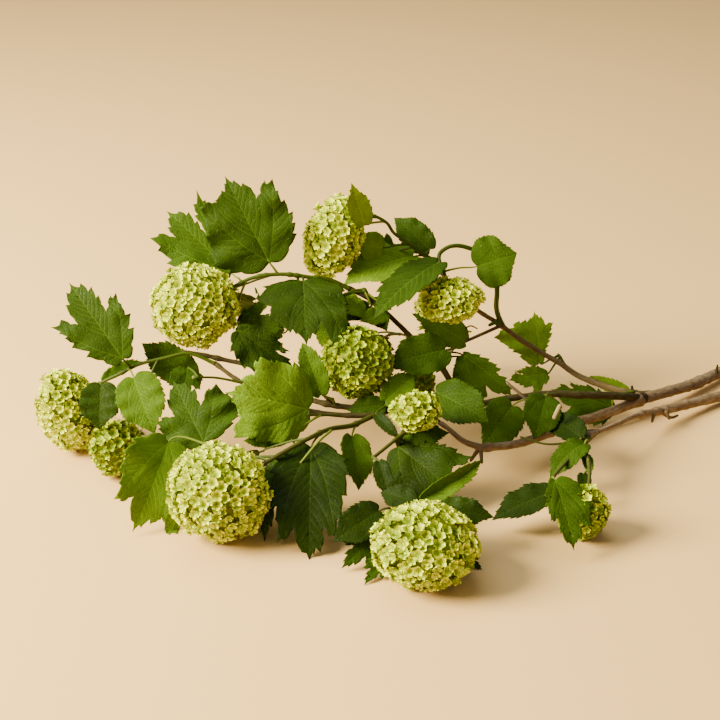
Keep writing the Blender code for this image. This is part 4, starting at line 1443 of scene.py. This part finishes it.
@dataclass
class Bit:
    """A bud, a cut stub or a bare stalk on the joined twigs: its skin, its end radii and its route."""

    skin: Skin
    radii: tuple[float, float]
    route: list[Point]

    def zone(self) -> Zone:
        """Tell which joined piece of twigs it belongs to."""
        return Spray.zone(self)

    def build(self, builder: MeshBuilder, slots: dict[str, int]) -> None:
        """Add it, with both ends rounded off.

        Args:
            builder: The joined twigs that it is added to.
            slots: The builder's material slots by name.
        """
        line = smooth_route([Vector(p) for p in self.route], 1.0)
        far = lengths_along(np.array([tuple(p) for p in line]))
        start, end = self.radii
        radius = start + (end - start) * far / far[-1]
        left = np.clip(np.minimum(far, far[-1] - far) / end, 0, 1)
        radius = radius * np.sqrt(np.clip(1 - (1 - left) ** 2, 0.1, 1))
        tube(builder, line, np.repeat(radius[:, None], 8, axis=1), slots[self.skin.value])


LIMBS: dict[str, Limb] = {
    "stem_upper": Limb(None, 0, (5.2, 4.3), 8, [(410, 166, 5.7), (340, 118, 6.5), (298, 86, 7.4), (270, 60, 9.4),
                (250, 44, 12), (230, 29, 14), (216, 18, 16)], "bark_grey",
                ((0.55, 0.10, 3.0), (0.672, 0.20, 3.2), (0.70, 0.13, 2.2), (0.99, 0.28, 7.0))),
    "stem_lower": Limb(None, 0, (5.8, 2.4), 8, [(412, 88, 6.3), (344, 66, 6.6), (290, 44, 7), (264, 26, 10),
                (238, 6, 14), (214, -16, 21), (188, -48, 28), (165, -72, 32)], "bark_grey",
                ((0.86, -0.36, 48.0), (0.64, 0.22, 3.0), (0.675, 0.20, 3.5), (0.74, 0.26, 3.5), (0.99, 0.5, 4.0))),
    "branch_back": Limb("stem_upper", 0.93, (2.8, 1.5), 6, [(207, 28, 20), (192, 38, 21), (175, 46, 25),
                (161, 52, 33), (148, 57, 39), (129, 61, 50), (112, 62, 63), (95, 60, 75), (73, 54, 99),
                (55, 50, 124)], "bark_red", ((0.02, 0.3, 4.0), (0.625, 0.55, 3.5), (0.99, 0.3, 3.0))),
    "branch_mid": Limb("stem_upper", 0.98, (3.2, 2.2), 6, [(206, 10, 24), (186, 0, 30), (173, -6, 33),
                (145, -14, 38), (128, -20, 39), (111, -26, 40), (94, -34, 40), (59, -46, 42), (26, -56, 47),
                (12, -62, 48)], "bark_dark", ((0.01, 0.3, 4.0), (0.72, 0.15, 3.0), (1.0, 0.25, 5.0))),
    "branch_front": Limb("stem_upper", 1.0, (4.2, 2.8), 8, [(200, 6, 14), (186, -2, 13), (166, -18, 16),
                (134, -50, 20), (110, -74, 26), (84, -90, 32)], "bark_grey",
                ((0.01, 0.2, 6.0), (0.55, 0.10, 4.0), (0.95, 0.28, 3.5))),
    "branch_rise": Limb("branch_mid", 0.66, (2.5, 1.7), 6, [(73, -30, 49), (61, -20, 64), (45, -8, 76),
                (30, 0, 89), (6, 8, 108), (-10, 10, 116)], "bark_dark", ((0.97, 0.4, 3.0),)),
    "branch_tip": Limb("branch_front", 1.0, (2.3, 1.6), 6, [(74, -90, 38), (62, -86, 47), (48, -80, 54)],
                "bark_grey"),
    "branch_left": Limb("branch_mid", 1.0, (2.3, 1.6), 6, [(4, -62, 50), (-10, -60, 50), (-36, -56, 54),
                (-80, -36, 72), (-100, -34, 76), (-116, -34, 80), (-132, -34, 83)], "bark_dark", ((0.26, 0.35, 2.5), (0.83, 0.4, 3.0))),
    "branch_low": Limb("branch_mid", 0.95, (2.1, 1.5), 6, [(12, -68, 48), (-12, -73, 50), (-36, -75, 54.5),
                (-66, -66, 62), (-92, -52, 70), (-108, -40, 77)], "bark_dark", ((0.12, 0.3, 3.0), (0.97, 0.4, 3.0))),
    "twig_grey": Limb("stem_lower", 0.96, (1.6, 1.1), 5, [(158, -58, 30), (143, -47, 34), (129, -39, 42),
                (119, -37, 50), (109, -34, 58)], "twig_tan"),
}
BLOOMS: dict[str, Bloom] = {
    "bloom_far_left": Bloom((-220, -32, 33), (23.5, 24, 32), -10, (0.85, 0.15)),
    "bloom_low_left": Bloom((-178, -70, 21), (21.5, 20.5, 20.5), 0, (0.0, 0.2)),
    "bloom_upper_left": Bloom((-123, -10, 110), (33.4, 34, 31), 0, (0.85, 0.15)),
    "bloom_front_left": Bloom((-96, -156, 34), (35.6, 35, 33.6), 0, (0.6, 0.4)),
    "bloom_top": Bloom((-20, 30, 149), (22.5, 24, 33), 19, (0.85, 0.15)),
    "bloom_centre": Bloom((-2, -40, 77), (27, 27, 27), 0, (0.05, 0.3)),
    "bloom_small": Bloom((39, -102, 68), (17.8, 17.5, 13.6), 0, (0.4, 0.45)),
    # painted light: this ball's share of cream flowers is raised so that it looks lighter where it lies in shade
    "bloom_upper_right": Bloom((68, 14, 104), (26, 23, 16.6), -4, (0.95, 0.05)),
    "bloom_front": Bloom((42, -212, 26.4), (36, 35, 25.9), 0, (0.5, 0.4)),
    "bloom_right": Bloom((152, -158, 20), (17.5, 18, 19.5), 0, (0.15, 0.45)),
    "bloom_hidden": Bloom((46, -14, 48), (11.5, 12, 11), 0, (0.0, 0.0)),
}
# Each leaf's tone holds painted light as well as its own colour: the dark tones partly stand in for shade on a leaf,
# and the palest for light through leaves that lie in shade
SPRAYS: dict[str, Spray] = {
    "leaves_upper_left": Spray("branch_rise", 1.0, (1.7, 1.3), [(-24, 9, 123), (-38, 6, 126), (-58, 2, 130),
                (-82, -2, 128)], "bloom_upper_left", [
        Leaf(0.95, (39, 105, -10), (70, 151, 35, -44), 1.0, 10, 20,
            ((23, 0.96, 0.27, 0.52), (22, 0.92, 0.40, 0.74)), Tone.FRESH),
        Leaf(0.62, (11, 145, 45), (71, 145, 56, -50), 1.0, 10, 20,
            ((30, 0.83, 0.42, 0.70), (25, 0.87, 0.50, 0.86)), Tone.GREEN),
        Leaf(0.4, (4, -85, -45), (57, -86, -31, 3), 1.0, 8, 35,
            ((80, 0.62, 0.60, 0.64), (27, 1.20, 0.50, 0.74)), Tone.DEEP),
        Leaf(0.25, (33, 60, -80), (36, -70, -40, 20), 0.6, 14, 30, "broad", Tone.THIN),
        Leaf(0.9, (35, -132, -74), (36, -18, 4, 50), 1.0, 8, 25,
            ((30, 0.66, 0.32, 0.60), (50, 0.82, 0.42, 0.56)), Tone.FRESH),
        Leaf(0.8, (49, 135, -30), (66, 135, -35, 40), 0.9, 10, 25, EVEN, Tone.GREEN),
        Leaf(0.66, (55, 145, -30), (68, 105, -50, 15), 0.9, 10, 25, EVEN, Tone.DEEP),
        Leaf(0.45, (46, -145, -70), (30, 175, 15, -50), 0.55, 10, 20, "broad", Tone.THIN),
    ]),
    "leaves_far_left": Spray("branch_low", 1.0, (1.4, 1.1), [(-126, -40, 84), (-144, -44, 82),
                (-162, -46, 78), (-176, -44, 70), (-190, -42, 62)], "bloom_far_left", [
        Leaf(0.6, (12, -135, 55), (70, 140, 40, -40), 1.0, 10, 20,
            ((30, 0.66, 0.26, 0.54), (31, 0.78, 0.25, 0.60)), Tone.GREEN),
        Leaf(0.62, (18, -70, 2), (46, -63, -35, 25), 0.76, 8, 30, "broad", Tone.BRIGHT),
        Leaf(0.95, (28, -65, 30), (32, -90, -50, 0), 0.95, 14, 20, "broad", Tone.DEEP),
        Leaf(0.85, (8, 90, -20), (38, 50, 5, 20), 0.45, 40, 10, "oval", Tone.THIN),
        Leaf(0.9, (42, 110, -30), (48, 135, -40, 35), 0.8, 10, 25, EVEN, Tone.GREEN),
    ]),
    "leaves_low_left": Spray("branch_low", 0.82, (1.0, 0.8), [(-106, -60, 74), (-120, -66, 77)], None, [
        Leaf(0.98, (31, 101, -25), (44, 167, 32, -62), 0.62, 8, 20, "broad", Tone.FRESH),
        Leaf(0.9, (15, 128, 6), (24, -95, -35, -15), 1.1, 10, 30, EVEN, Tone.GREEN),
    ]),
    "leaves_front_left": Spray("branch_low", 0.14, (2.0, 1.4), [(-4, -82, 47), (-22, -100, 52.5),
                (-38, -121, 55), (-56, -135, 51)], "bloom_front_left", [
        Leaf(0.9, (61, 150, -5), (54, 123, 34, -29), 1.0, 6, 15,
            ((38, 0.76, 0.66, 0.52), (38, 0.68, 0.42, 0.55)), Tone.GREEN),
        Leaf(0.95, (77, 160, 0), (67, -113, -39, -43), 1.0, 14, 25,
            ((23, 0.83, 0.40, 0.74), (27, 0.98, 0.42, 0.82)), Tone.PALE),
        Leaf(0.45, (20, -120, -12), (84, -90, -35, 0), 1.0, 12, 35,
            ((17, 0.86, 0.3, 0.78), (15, 0.82, 0.3, 0.76)), Tone.DARK),
        Leaf(0.15, (12, -110, -27), (39, -80, -42, -15), 0.62, 16, 25, "broad", Tone.BRIGHT),
        Leaf(0.85, (17, 88, -45), (60, -106, -38, 20), 0.55, 10, 30, EVEN, Tone.GREEN),
        Leaf(0.62, (43, 160, -25), (40, 155, -35, 30), 0.7, 10, 20, EVEN, Tone.GREEN),
    ], Skin.OLIVE),
    "stalk_low_left": Spray("leaves_far_left", 0.42, (1.0, 0.9), [(-156, -54, 66), (-160, -64, 50)],
                "bloom_low_left", [
    ]),
    "leaves_rear": Spray("branch_rise", 0.55, (1.1, 0.9), [(30, 22, 72), (22, 34, 66)], None, [
        Leaf(0.95, (21, 130, -40), (60, 135, -45, 35), 0.9, 10, 25, EVEN, Tone.GREEN),
        Leaf(0.6, (31, 140, -20), (54, 105, -60, 10), 0.8, 10, 25, EVEN, Tone.DEEP),
    ], Skin.OLIVE),
    "leaf_fan": Spray("branch_low", 0.3, (1.2, 0.9), [(-38, -84, 56)], None, [
        Leaf(0.9, (5, 120, 30), (62, -165, 20, -60), 1.0, 8, 30,
            ((34, 0.80, 0.45, 0.80), (31, 0.92, 0.44, 0.86)), Tone.THIN),
        Leaf(0.6, (31, -155, -20), (30, -160, 5, -70), 0.5, 10, 20, "oval", Tone.BRIGHT),
    ], Skin.OLIVE),
    "leaf_left": Spray("branch_left", 0.62, (1.0, 0.8), [(-88, -36, 84)], None, [
        Leaf(0.9, (20, -130, 78), (52, -12, -38, 38), 1.0, 10, 25,
            ((29, 0.74, 0.38, 0.62), (16, 0.74, 0.22, 0.60)), Tone.DEEP),
    ]),
    "leaf_inner": Spray("branch_left", 0.22, (1.0, 0.8), [(-20, -66, 60)], None, [
        Leaf(0.9, (11, -150, 35), (39, 127, 55, -30), 0.62, 20, 20, "oval", Tone.BRIGHT),
    ]),
    "leaves_arch": Spray("branch_back", 0.62, (2.2, 1.5), [(109, 62, 77), (109, 62, 91), (108, 62, 103),
                (103, 62, 116), (97, 61, 124), (86, 59, 129), (77, 57, 132), (69, 54, 132), (63, 51, 129)],
                "bloom_upper_right", [
        Leaf(0.97, (14, -130, 52), (73, -135, -19, -6), 0.44, 10, 30, "broad", Tone.GREEN),
        Leaf(0.95, (27, 7, 6), (32, -12, 24, 75), 1.3, 8, 25, "broad", Tone.FRESH),
        Leaf(0.4, (20, 65, 5), (34, 110, -55, 15), 0.8, 10, 25, EVEN, Tone.FRESH),
    ]),
    "leaves_top": Spray("branch_back", 1.0, (1.4, 1.2), [(46, 46, 132), (36, 44, 140), (26, 42, 148),
                (20, 38, 158), (6, 34, 164)], "bloom_top", [
        Leaf(0.95, (20, -100, 5), (42, -115, 60, -145), 0.42, 10, 15, "broad", Tone.THIN),
        Leaf(0.1, (7, 55, 10), (38, 145, 30, -45), 0.62, 12, 20, "broad", Tone.GREEN),
        Leaf(0.3, (23, -165, 0), (21, -165, 10, -68), 1.15, 10, 30, "broad", Tone.THIN),
        Leaf(0.25, (19, 175, -10), (14, 120, 65, -30), 0.6, 10, 10, "oval", Tone.BRIGHT),
        Leaf(0.05, (13, -155, 5), (62, -148, -8, -20), 0.64, 12, 25, "broad", Tone.THIN),
        Leaf(0.75, (36, 145, -25), (50, 120, -40, 25), 0.8, 10, 25, EVEN, Tone.FRESH),
    ]),
    "leaves_node": Spray("branch_back", 0.62, (1.5, 1.1), [(100, 52, 60), (92, 48, 58), (84, 42, 57),
                (70, 30, 54)], "bloom_hidden", [
        Leaf(0.7, (26, 45, 15), (46, 180, 30, -40), 0.6, 10, 20, "broad", Tone.PALE),
        Leaf(0.6, (63, -96, 26), (46, -158, -6, -42), 0.72, 10, 25, "broad", Tone.GREEN),
        Leaf(0.62, (15, 20, -15), (51, -36, -26, 30), 1.0, 14, 25,
            ((31, 0.84, 0.36, 0.66), (18, 0.60, 0.14, 0.60)), Tone.LIGHT),
        Leaf(0.75, (27, 40, -15), (28, -110, -25, -25), 0.45, 10, 25, "oval", Tone.LIGHT),
        Leaf(0.45, (33, 80, -5), (52, 135, -15, 30), 0.8, 10, 25, EVEN, Tone.PALE),
    ], Skin.TAN),
    "leaves_centre": Spray("branch_mid", 0.93, (1.2, 1.0), [(20, -62, 56)], "bloom_centre", [
        Leaf(0.4, (6, -150, 20), (32, 40, 25, 40), 0.62, 16, 25, "broad", Tone.LIGHT),
        Leaf(0.3, (21, -130, -5), (26, -50, -20, 40), 0.45, 20, 30, "oval", Tone.DARK),
        Leaf(0.5, (5, -150, -30), (27, 178, -8, -50), 0.62, 10, 20, "broad", Tone.GREEN),
    ], Skin.OLIVE),
    "leaf_centre": Spray("branch_mid", 0.76, (1.1, 0.9), [(58, -50, 52)], None, [
        Leaf(0.9, (11, -115, 50), (48, -40, -10, 35), 0.68, 10, 25, "broad", Tone.GREEN),
    ], Skin.OLIVE),
    "leaves_under": Spray("branch_mid", 0.36, (1.1, 0.9), [(142, -20, 40)], None, [
        Leaf(0.9, (32, -155, -5), (44, -125, -20, -35), 0.72, 10, 25, "broad", Tone.BRIGHT),
        Leaf(0.7, (23, -110, 20), (36, -110, -30, -20), 0.8, 10, 25, "broad", Tone.GREEN),
    ], Skin.OLIVE),
    "leaf_fork": Spray("branch_mid", 0.06, (1.0, 0.8), [(196, 16, 22)], None, [
        Leaf(0.9, (10, -65, -75), (50, 180, 18, -50), 1.0, 10, 20,
            ((14, 0.75, 0.17, 0.70), (30, 0.76, 0.38, 0.72)), Tone.FRESH),
    ]),
    "leaves_front": Spray("branch_tip", 1.0, (1.5, 1.2), [(42, -86, 54), (36, -96, 52), (22, -112, 48),
                (8, -128, 44)], None, [
        Leaf(0.3, (10, -145, -40), (32, 0, 5, 55), 0.5, 10, 20, "broad", Tone.GREEN),
        Leaf(0.6, (17, 80, -45), (54, -45, -15, 40), 1.0, 8, 30,
            ((33, 0.93, 0.42, 0.86), (29, 1.0, 0.24, 0.86)), Tone.DEEP),
        Leaf(0.97, (7, -55, -5), (26, -70, -40, 20), 0.5, 16, 25, "broad", Tone.DARK),
    ], Skin.OLIVE),
    "stalk_centre": Spray("branch_tip", 0.8, (1.0, 0.9), [(50, -86, 60)], "bloom_small", [
    ]),
    "leaves_bloom": Spray("leaves_front", 0.55, (1.5, 1.3), [(30, -120, 44), (34, -150, 44),
                (40, -180, 46)], "bloom_front", [
        Leaf(0.7, (15, -90, -45), (26, 150, 0, -35), 0.7, 10, 20, "broad", Tone.DARK),
        Leaf(0.8, (11, -65, -25), (46, 15, 30, 70), 0.45, 40, 25, "oval", Tone.LIGHT),
        Leaf(0.75, (25, -14, -52), (38, -17, 3, 40), 0.55, 10, 25, "broad", Tone.DEEP),
        Leaf(0.5, (39, -125, -20), (36, -150, -20, -40), 0.7, 10, 20, "broad", Tone.DARK),
        Leaf(0.6, (42, -130, -45), (40, -135, -15, -30), 0.7, 10, 20, EVEN, Tone.DEEP),
        Leaf(0.7, (54, -120, -50), (32, -120, -5, -15), 0.55, 10, 20, EVEN, Tone.GREEN),
        Leaf(0.8, (55, -35, -50), (18, -40, -10, 30), 0.7, 10, 20, EVEN, Tone.DEEP),
        Leaf(0.55, (26, -70, -35), (38, 155, -45, 30), 0.7, 10, 20, EVEN, Tone.GREEN),
    ], Skin.OLIVE, ((27.5, -95, 34), (30, -106, 20), (33, -122, 12), (36, -150, 8), (41, -183, 16))),
    "leaves_right": Spray("stem_lower", 1.0, (1.4, 1.1), [(163, -86, 30), (163, -104, 28), (160, -128, 26)],
                "bloom_right", [
        Leaf(0.05, (9, -95, 0), (38, -140, -25, -15), 0.5, 10, 70, "broad", Tone.FRESH),
        Leaf(0.45, (11, 90, -5), (16, -85, -25, 5), 0.6, 10, 10, "oval", Tone.BRIGHT),
        Leaf(0.6, (6, 160, -50), (20, -95, -15, -10), 0.52, 10, 20, "broad", Tone.DARK),
        Leaf(0.02, (5, -145, 20), (38, 120, 0, -25), 0.6, 10, 20, "broad", Tone.DARK),
    ], Skin.OLIVE),
    "leaves_fall": Spray("stem_lower", 0.965, (1.4, 1.1), [(150, -98, 28), (138, -120, 28),
                (132, -138, 32)], None, [
        Leaf(0.98, (8, -80, -60), (46, -160, -15, -15), 0.55, 12, 15, "broad", Tone.DARK),
        Leaf(0.99, (22, -91, 31), (50, -76, -36, -3), 1.0, 8, 20,
            ((23, 0.63, 0.19, 0.60), (24, 0.78, 0.36, 0.66)), Tone.FRESH),
    ], Skin.OLIVE),
    "leaves_joint": Spray("branch_rise", 0.86, (0.9, 0.7), [(2, 10, 116)], None, [
        Leaf(0.9, (17, -160, -15), (24, -30, -30, 20), 0.6, 10, 20, "broad", Tone.THIN),
        Leaf(0.7, (26, -160, -13), (27, -25, -20, 10), 0.6, 10, 20, "broad", Tone.THIN),
        Leaf(0.5, (22, -40, -40), (24, -145, 0, -45), 0.6, 10, 20, "broad", Tone.PALE),
        Leaf(0.6, (12, -90, -70), (23, -143, -17, -30), 0.7, 14, 25, "broad", Tone.BRIGHT),
        Leaf(0.8, (18, -56, -51), (20, -55, -31, 20), 0.7, 14, 25, "broad", Tone.FRESH),
        Leaf(0.9, (11, -19, -60), (17, -14, -19, 30), 0.7, 14, 20, "oval", Tone.LIGHT),
    ]),
    "leaves_back": Spray("branch_back", 0.33, (1.1, 0.9), [(160, 60, 38)], None, [
        Leaf(0.9, (19, 155, -35), (42, 105, 65, -15), 1.0, 8, 25,
            ((24, 0.78, 0.13, 0.76), (55, 0.98, 0.40, 0.88)), Tone.THIN),
        Leaf(0.7, (19, -150, -42), (37, -150, 6, -42), 1.0, 10, 20,
            ((12, 0.8, 0.2, 0.62), (46, 0.7, 0.26, 0.6)), Tone.THIN),
    ]),
    "leaf_folded": Spray("branch_back", 0.05, (0.8, 0.7), [(212, 42, 14)], None, [
        Leaf(0.9, (5, 30, -40), (36, 160, 12, -50), 0.42, 30, 20, "oval", Tone.THIN),
    ]),
}


BITS: list[Bit] = [
    Bit(Skin.DARK, (1.7, 0.6), [(295.4, 80, 10), (296, 82, 18)]),
    Bit(Skin.DARK, (2.2, 0.9), [(216, 26, 17), (215.8, 28, 25)]),
    Bit(Skin.TAN, (1.5, 0.9), [(236, 3, 13), (244, 5, 8), (251, 11, 7)]),
    Bit(Skin.RED, (1.8, 1.0), [(238, 0, 17), (241, -3, 10)]),
    Bit(Skin.TAN, (1.7, 0.9), [(228, -6, 18), (226, -10, 11)]),
    Bit(Skin.CUT, (1.9, 1.6), [(142.6, -61, 40.5), (143.6, -61.3, 44), (147, -59.4, 52)]),
    Bit(Skin.OLIVE, (1.1, 0.7), [(165, -74, 31), (150, -80, 31), (136, -82, 31), (116, -78, 35)]),
    Bit(Skin.PALE, (1.0, 0.7), [(-20, -104, 54), (-30, -126, 55), (-42.7, -136, 43)]),
    Bit(Skin.GREEN, (2.2, 1.2), [(112, 60, 65), (108, 56, 67), (102, 52, 66)]),
    Bit(Skin.RED, (1.6, 0.6), [(107, 58, 66), (103.6, 56, 72)]),
    Bit(Skin.DARK, (0.9, 0.5), [(86, 43, 57), (82.3, 44, 65.8), (87, 44, 69.3), (93.4, 44, 66.7)]),
    Bit(Skin.GREEN, (1.2, 1.0), [(112, 60, 62), (108.6, 58, 81.4), (107.5, 60, 97)]),
    Bit(Skin.TAN, (1.8, 1.1), [(86, -89, 32), (79.4, -92, 22)]),
    Bit(Skin.TAN, (1.7, 1.0), [(87, -89, 31), (87.5, -97, 23)]),
    Bit(Skin.DARK, (1.2, 0.8), [(-20, -60, 53), (-27, -61, 60)]),
]


@dataclass
class Studio:
    """The pale floor, the soft light from the back left and the camera, all placed in mm of the layout."""

    eye: Point = (0.0, -1042.0, 546.0)
    downward: float = 25.0
    lens: float = 75.0
    floor_colour: Colour = (0.84, 0.53, 0.19)
    key_place: Point = (-1570.0, -450.0, 1090.0)
    key_power: float = 192.0
    key_size: float = 1.1
    key_colour: Colour = (1.0, 0.915, 0.70)
    top_place: Point = (-500.0, 600.0, 2050.0)
    top_power: float = 34.0
    top_size: float = 2.2
    sky_colour: Colour = (0.93, 0.97, 1.0)
    sky_strength: float = 0.27

    def floor(self) -> None:
        """Lay the floor under the plant."""
        bpy.ops.object.select_all(action="DESELECT")
        bpy.ops.mesh.primitive_plane_add(size=8.0, location=(0.0, 0.0, 0.0))
        item = bpy.context.object
        item.name = "floor"
        item.data.materials.append(PlainFinish("floor", 0.55, self.floor_colour).build(Grain()))

    def light(self) -> None:
        """Hang the soft key light at the left and a softer one overhead, and fill the room with light."""
        for name, spot, power, size, colour in (
                ("key_light", self.key_place, self.key_power, self.key_size, self.key_colour),
                ("top_light", self.top_place, self.top_power, self.top_size, self.sky_colour)):
            place = (Vector(spot) + PLANT_SHIFT) * MM
            bpy.ops.object.light_add(type="AREA", location=place)
            lamp = bpy.context.object
            lamp.name = name
            lamp.rotation_euler = (Vector((0.0, 0.0, 0.05)) - place).to_track_quat("-Z", "Y").to_euler()
            lamp.data.energy = power
            lamp.data.shape = "DISK"
            lamp.data.size = size
            lamp.data.color = colour
        world = bpy.context.scene.world or bpy.data.worlds.new("room")
        bpy.context.scene.world = world
        world.use_nodes = True
        sky = world.node_tree.nodes["Background"]
        sky.inputs["Color"].default_value = (*self.sky_colour, 1.0)
        sky.inputs["Strength"].default_value = self.sky_strength

    def camera(self) -> None:
        """Set up the camera."""
        place = (Vector(self.eye) + PLANT_SHIFT) * MM
        bpy.ops.object.camera_add(location=place, rotation=(math.radians(90 - self.downward), 0.0, 0.0))
        camera = bpy.context.object
        camera.data.lens = self.lens
        camera.data.sensor_width = 36.0
        camera.data.clip_end = 50.0
        bpy.context.scene.camera = camera

    def build(self) -> None:
        """Set up the floor, the light and the camera."""
        self.floor()
        self.light()
        self.camera()


@dataclass
class Plant:
    """The whole plant: its limbs, its flower balls and its shoots with leaves."""

    limbs: dict[str, Limb]
    blooms: dict[str, Bloom]
    sprays: dict[str, Spray]
    bits: list[Bit]
    palette: Palette = field(default_factory=Palette)
    grown: dict[str, tuple] = field(default_factory=dict)

    def build_limbs(self) -> None:
        """Grow the limbs in order."""
        for name, limb in self.limbs.items():
            self.grown[name] = (smooth_route(limb.way(self.grown)), *limb.radii)
            item = limb.build(name, self.grown, self.palette)
            log.info("%s: %d triangles", item.name, triangles(item))

    def build_sprays(self) -> None:
        """Grow the shoots and their leaves, with the stems joined into one piece for each zone."""
        skins = [skin.value for skin in (Skin.GREEN, Skin.PALE, Skin.OLIVE, Skin.TAN, Skin.DARK, Skin.RED, Skin.CUT)]
        slots = {name: i for i, name in enumerate(skins)}
        twigs = {zone: MeshBuilder() for zone in Zone}
        for name, spray in self.sprays.items():
            points, route = spray.grow(self.grown, self.blooms)
            self.grown[name] = (route, *spray.radii)
            stem = spray.stem(twigs[spray.zone()], points, self.grown, self.blooms, slots)
            item = spray.build(name, route, stem, twigs[spray.zone()], slots, self.palette)
            if item:
                log.info("%s: %d triangles", item.name, triangles(item))
        for bit in self.bits:
            bit.build(twigs[bit.zone()], slots)
        for zone, builder in twigs.items():
            item = builder.make(zone.value, [self.palette.get(name) for name in skins])
            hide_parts(*[name for name, spray in self.sprays.items() if spray.zone() is zone])
            log.info("%s: %d triangles", item.name, triangles(item))

    def build_blooms(self) -> None:
        """Grow the flower balls."""
        for name, bloom in self.blooms.items():
            item = bloom.build(name, self.palette)
            log.info("%s: %d triangles", item.name, triangles(item))

    def build(self) -> None:
        """Grow the plant."""
        self.build_limbs()
        self.build_sprays()
        self.build_blooms()


def main() -> None:
    """Build the plant and its studio."""
    logging.basicConfig(level=logging.INFO, format="%(name)s: %(message)s")
    bpy.ops.object.select_all(action="DESELECT")
    Studio().build()
    plant = Plant(LIMBS, BLOOMS, SPRAYS, BITS)
    plant.build()


if __name__ == "__main__":
    main()
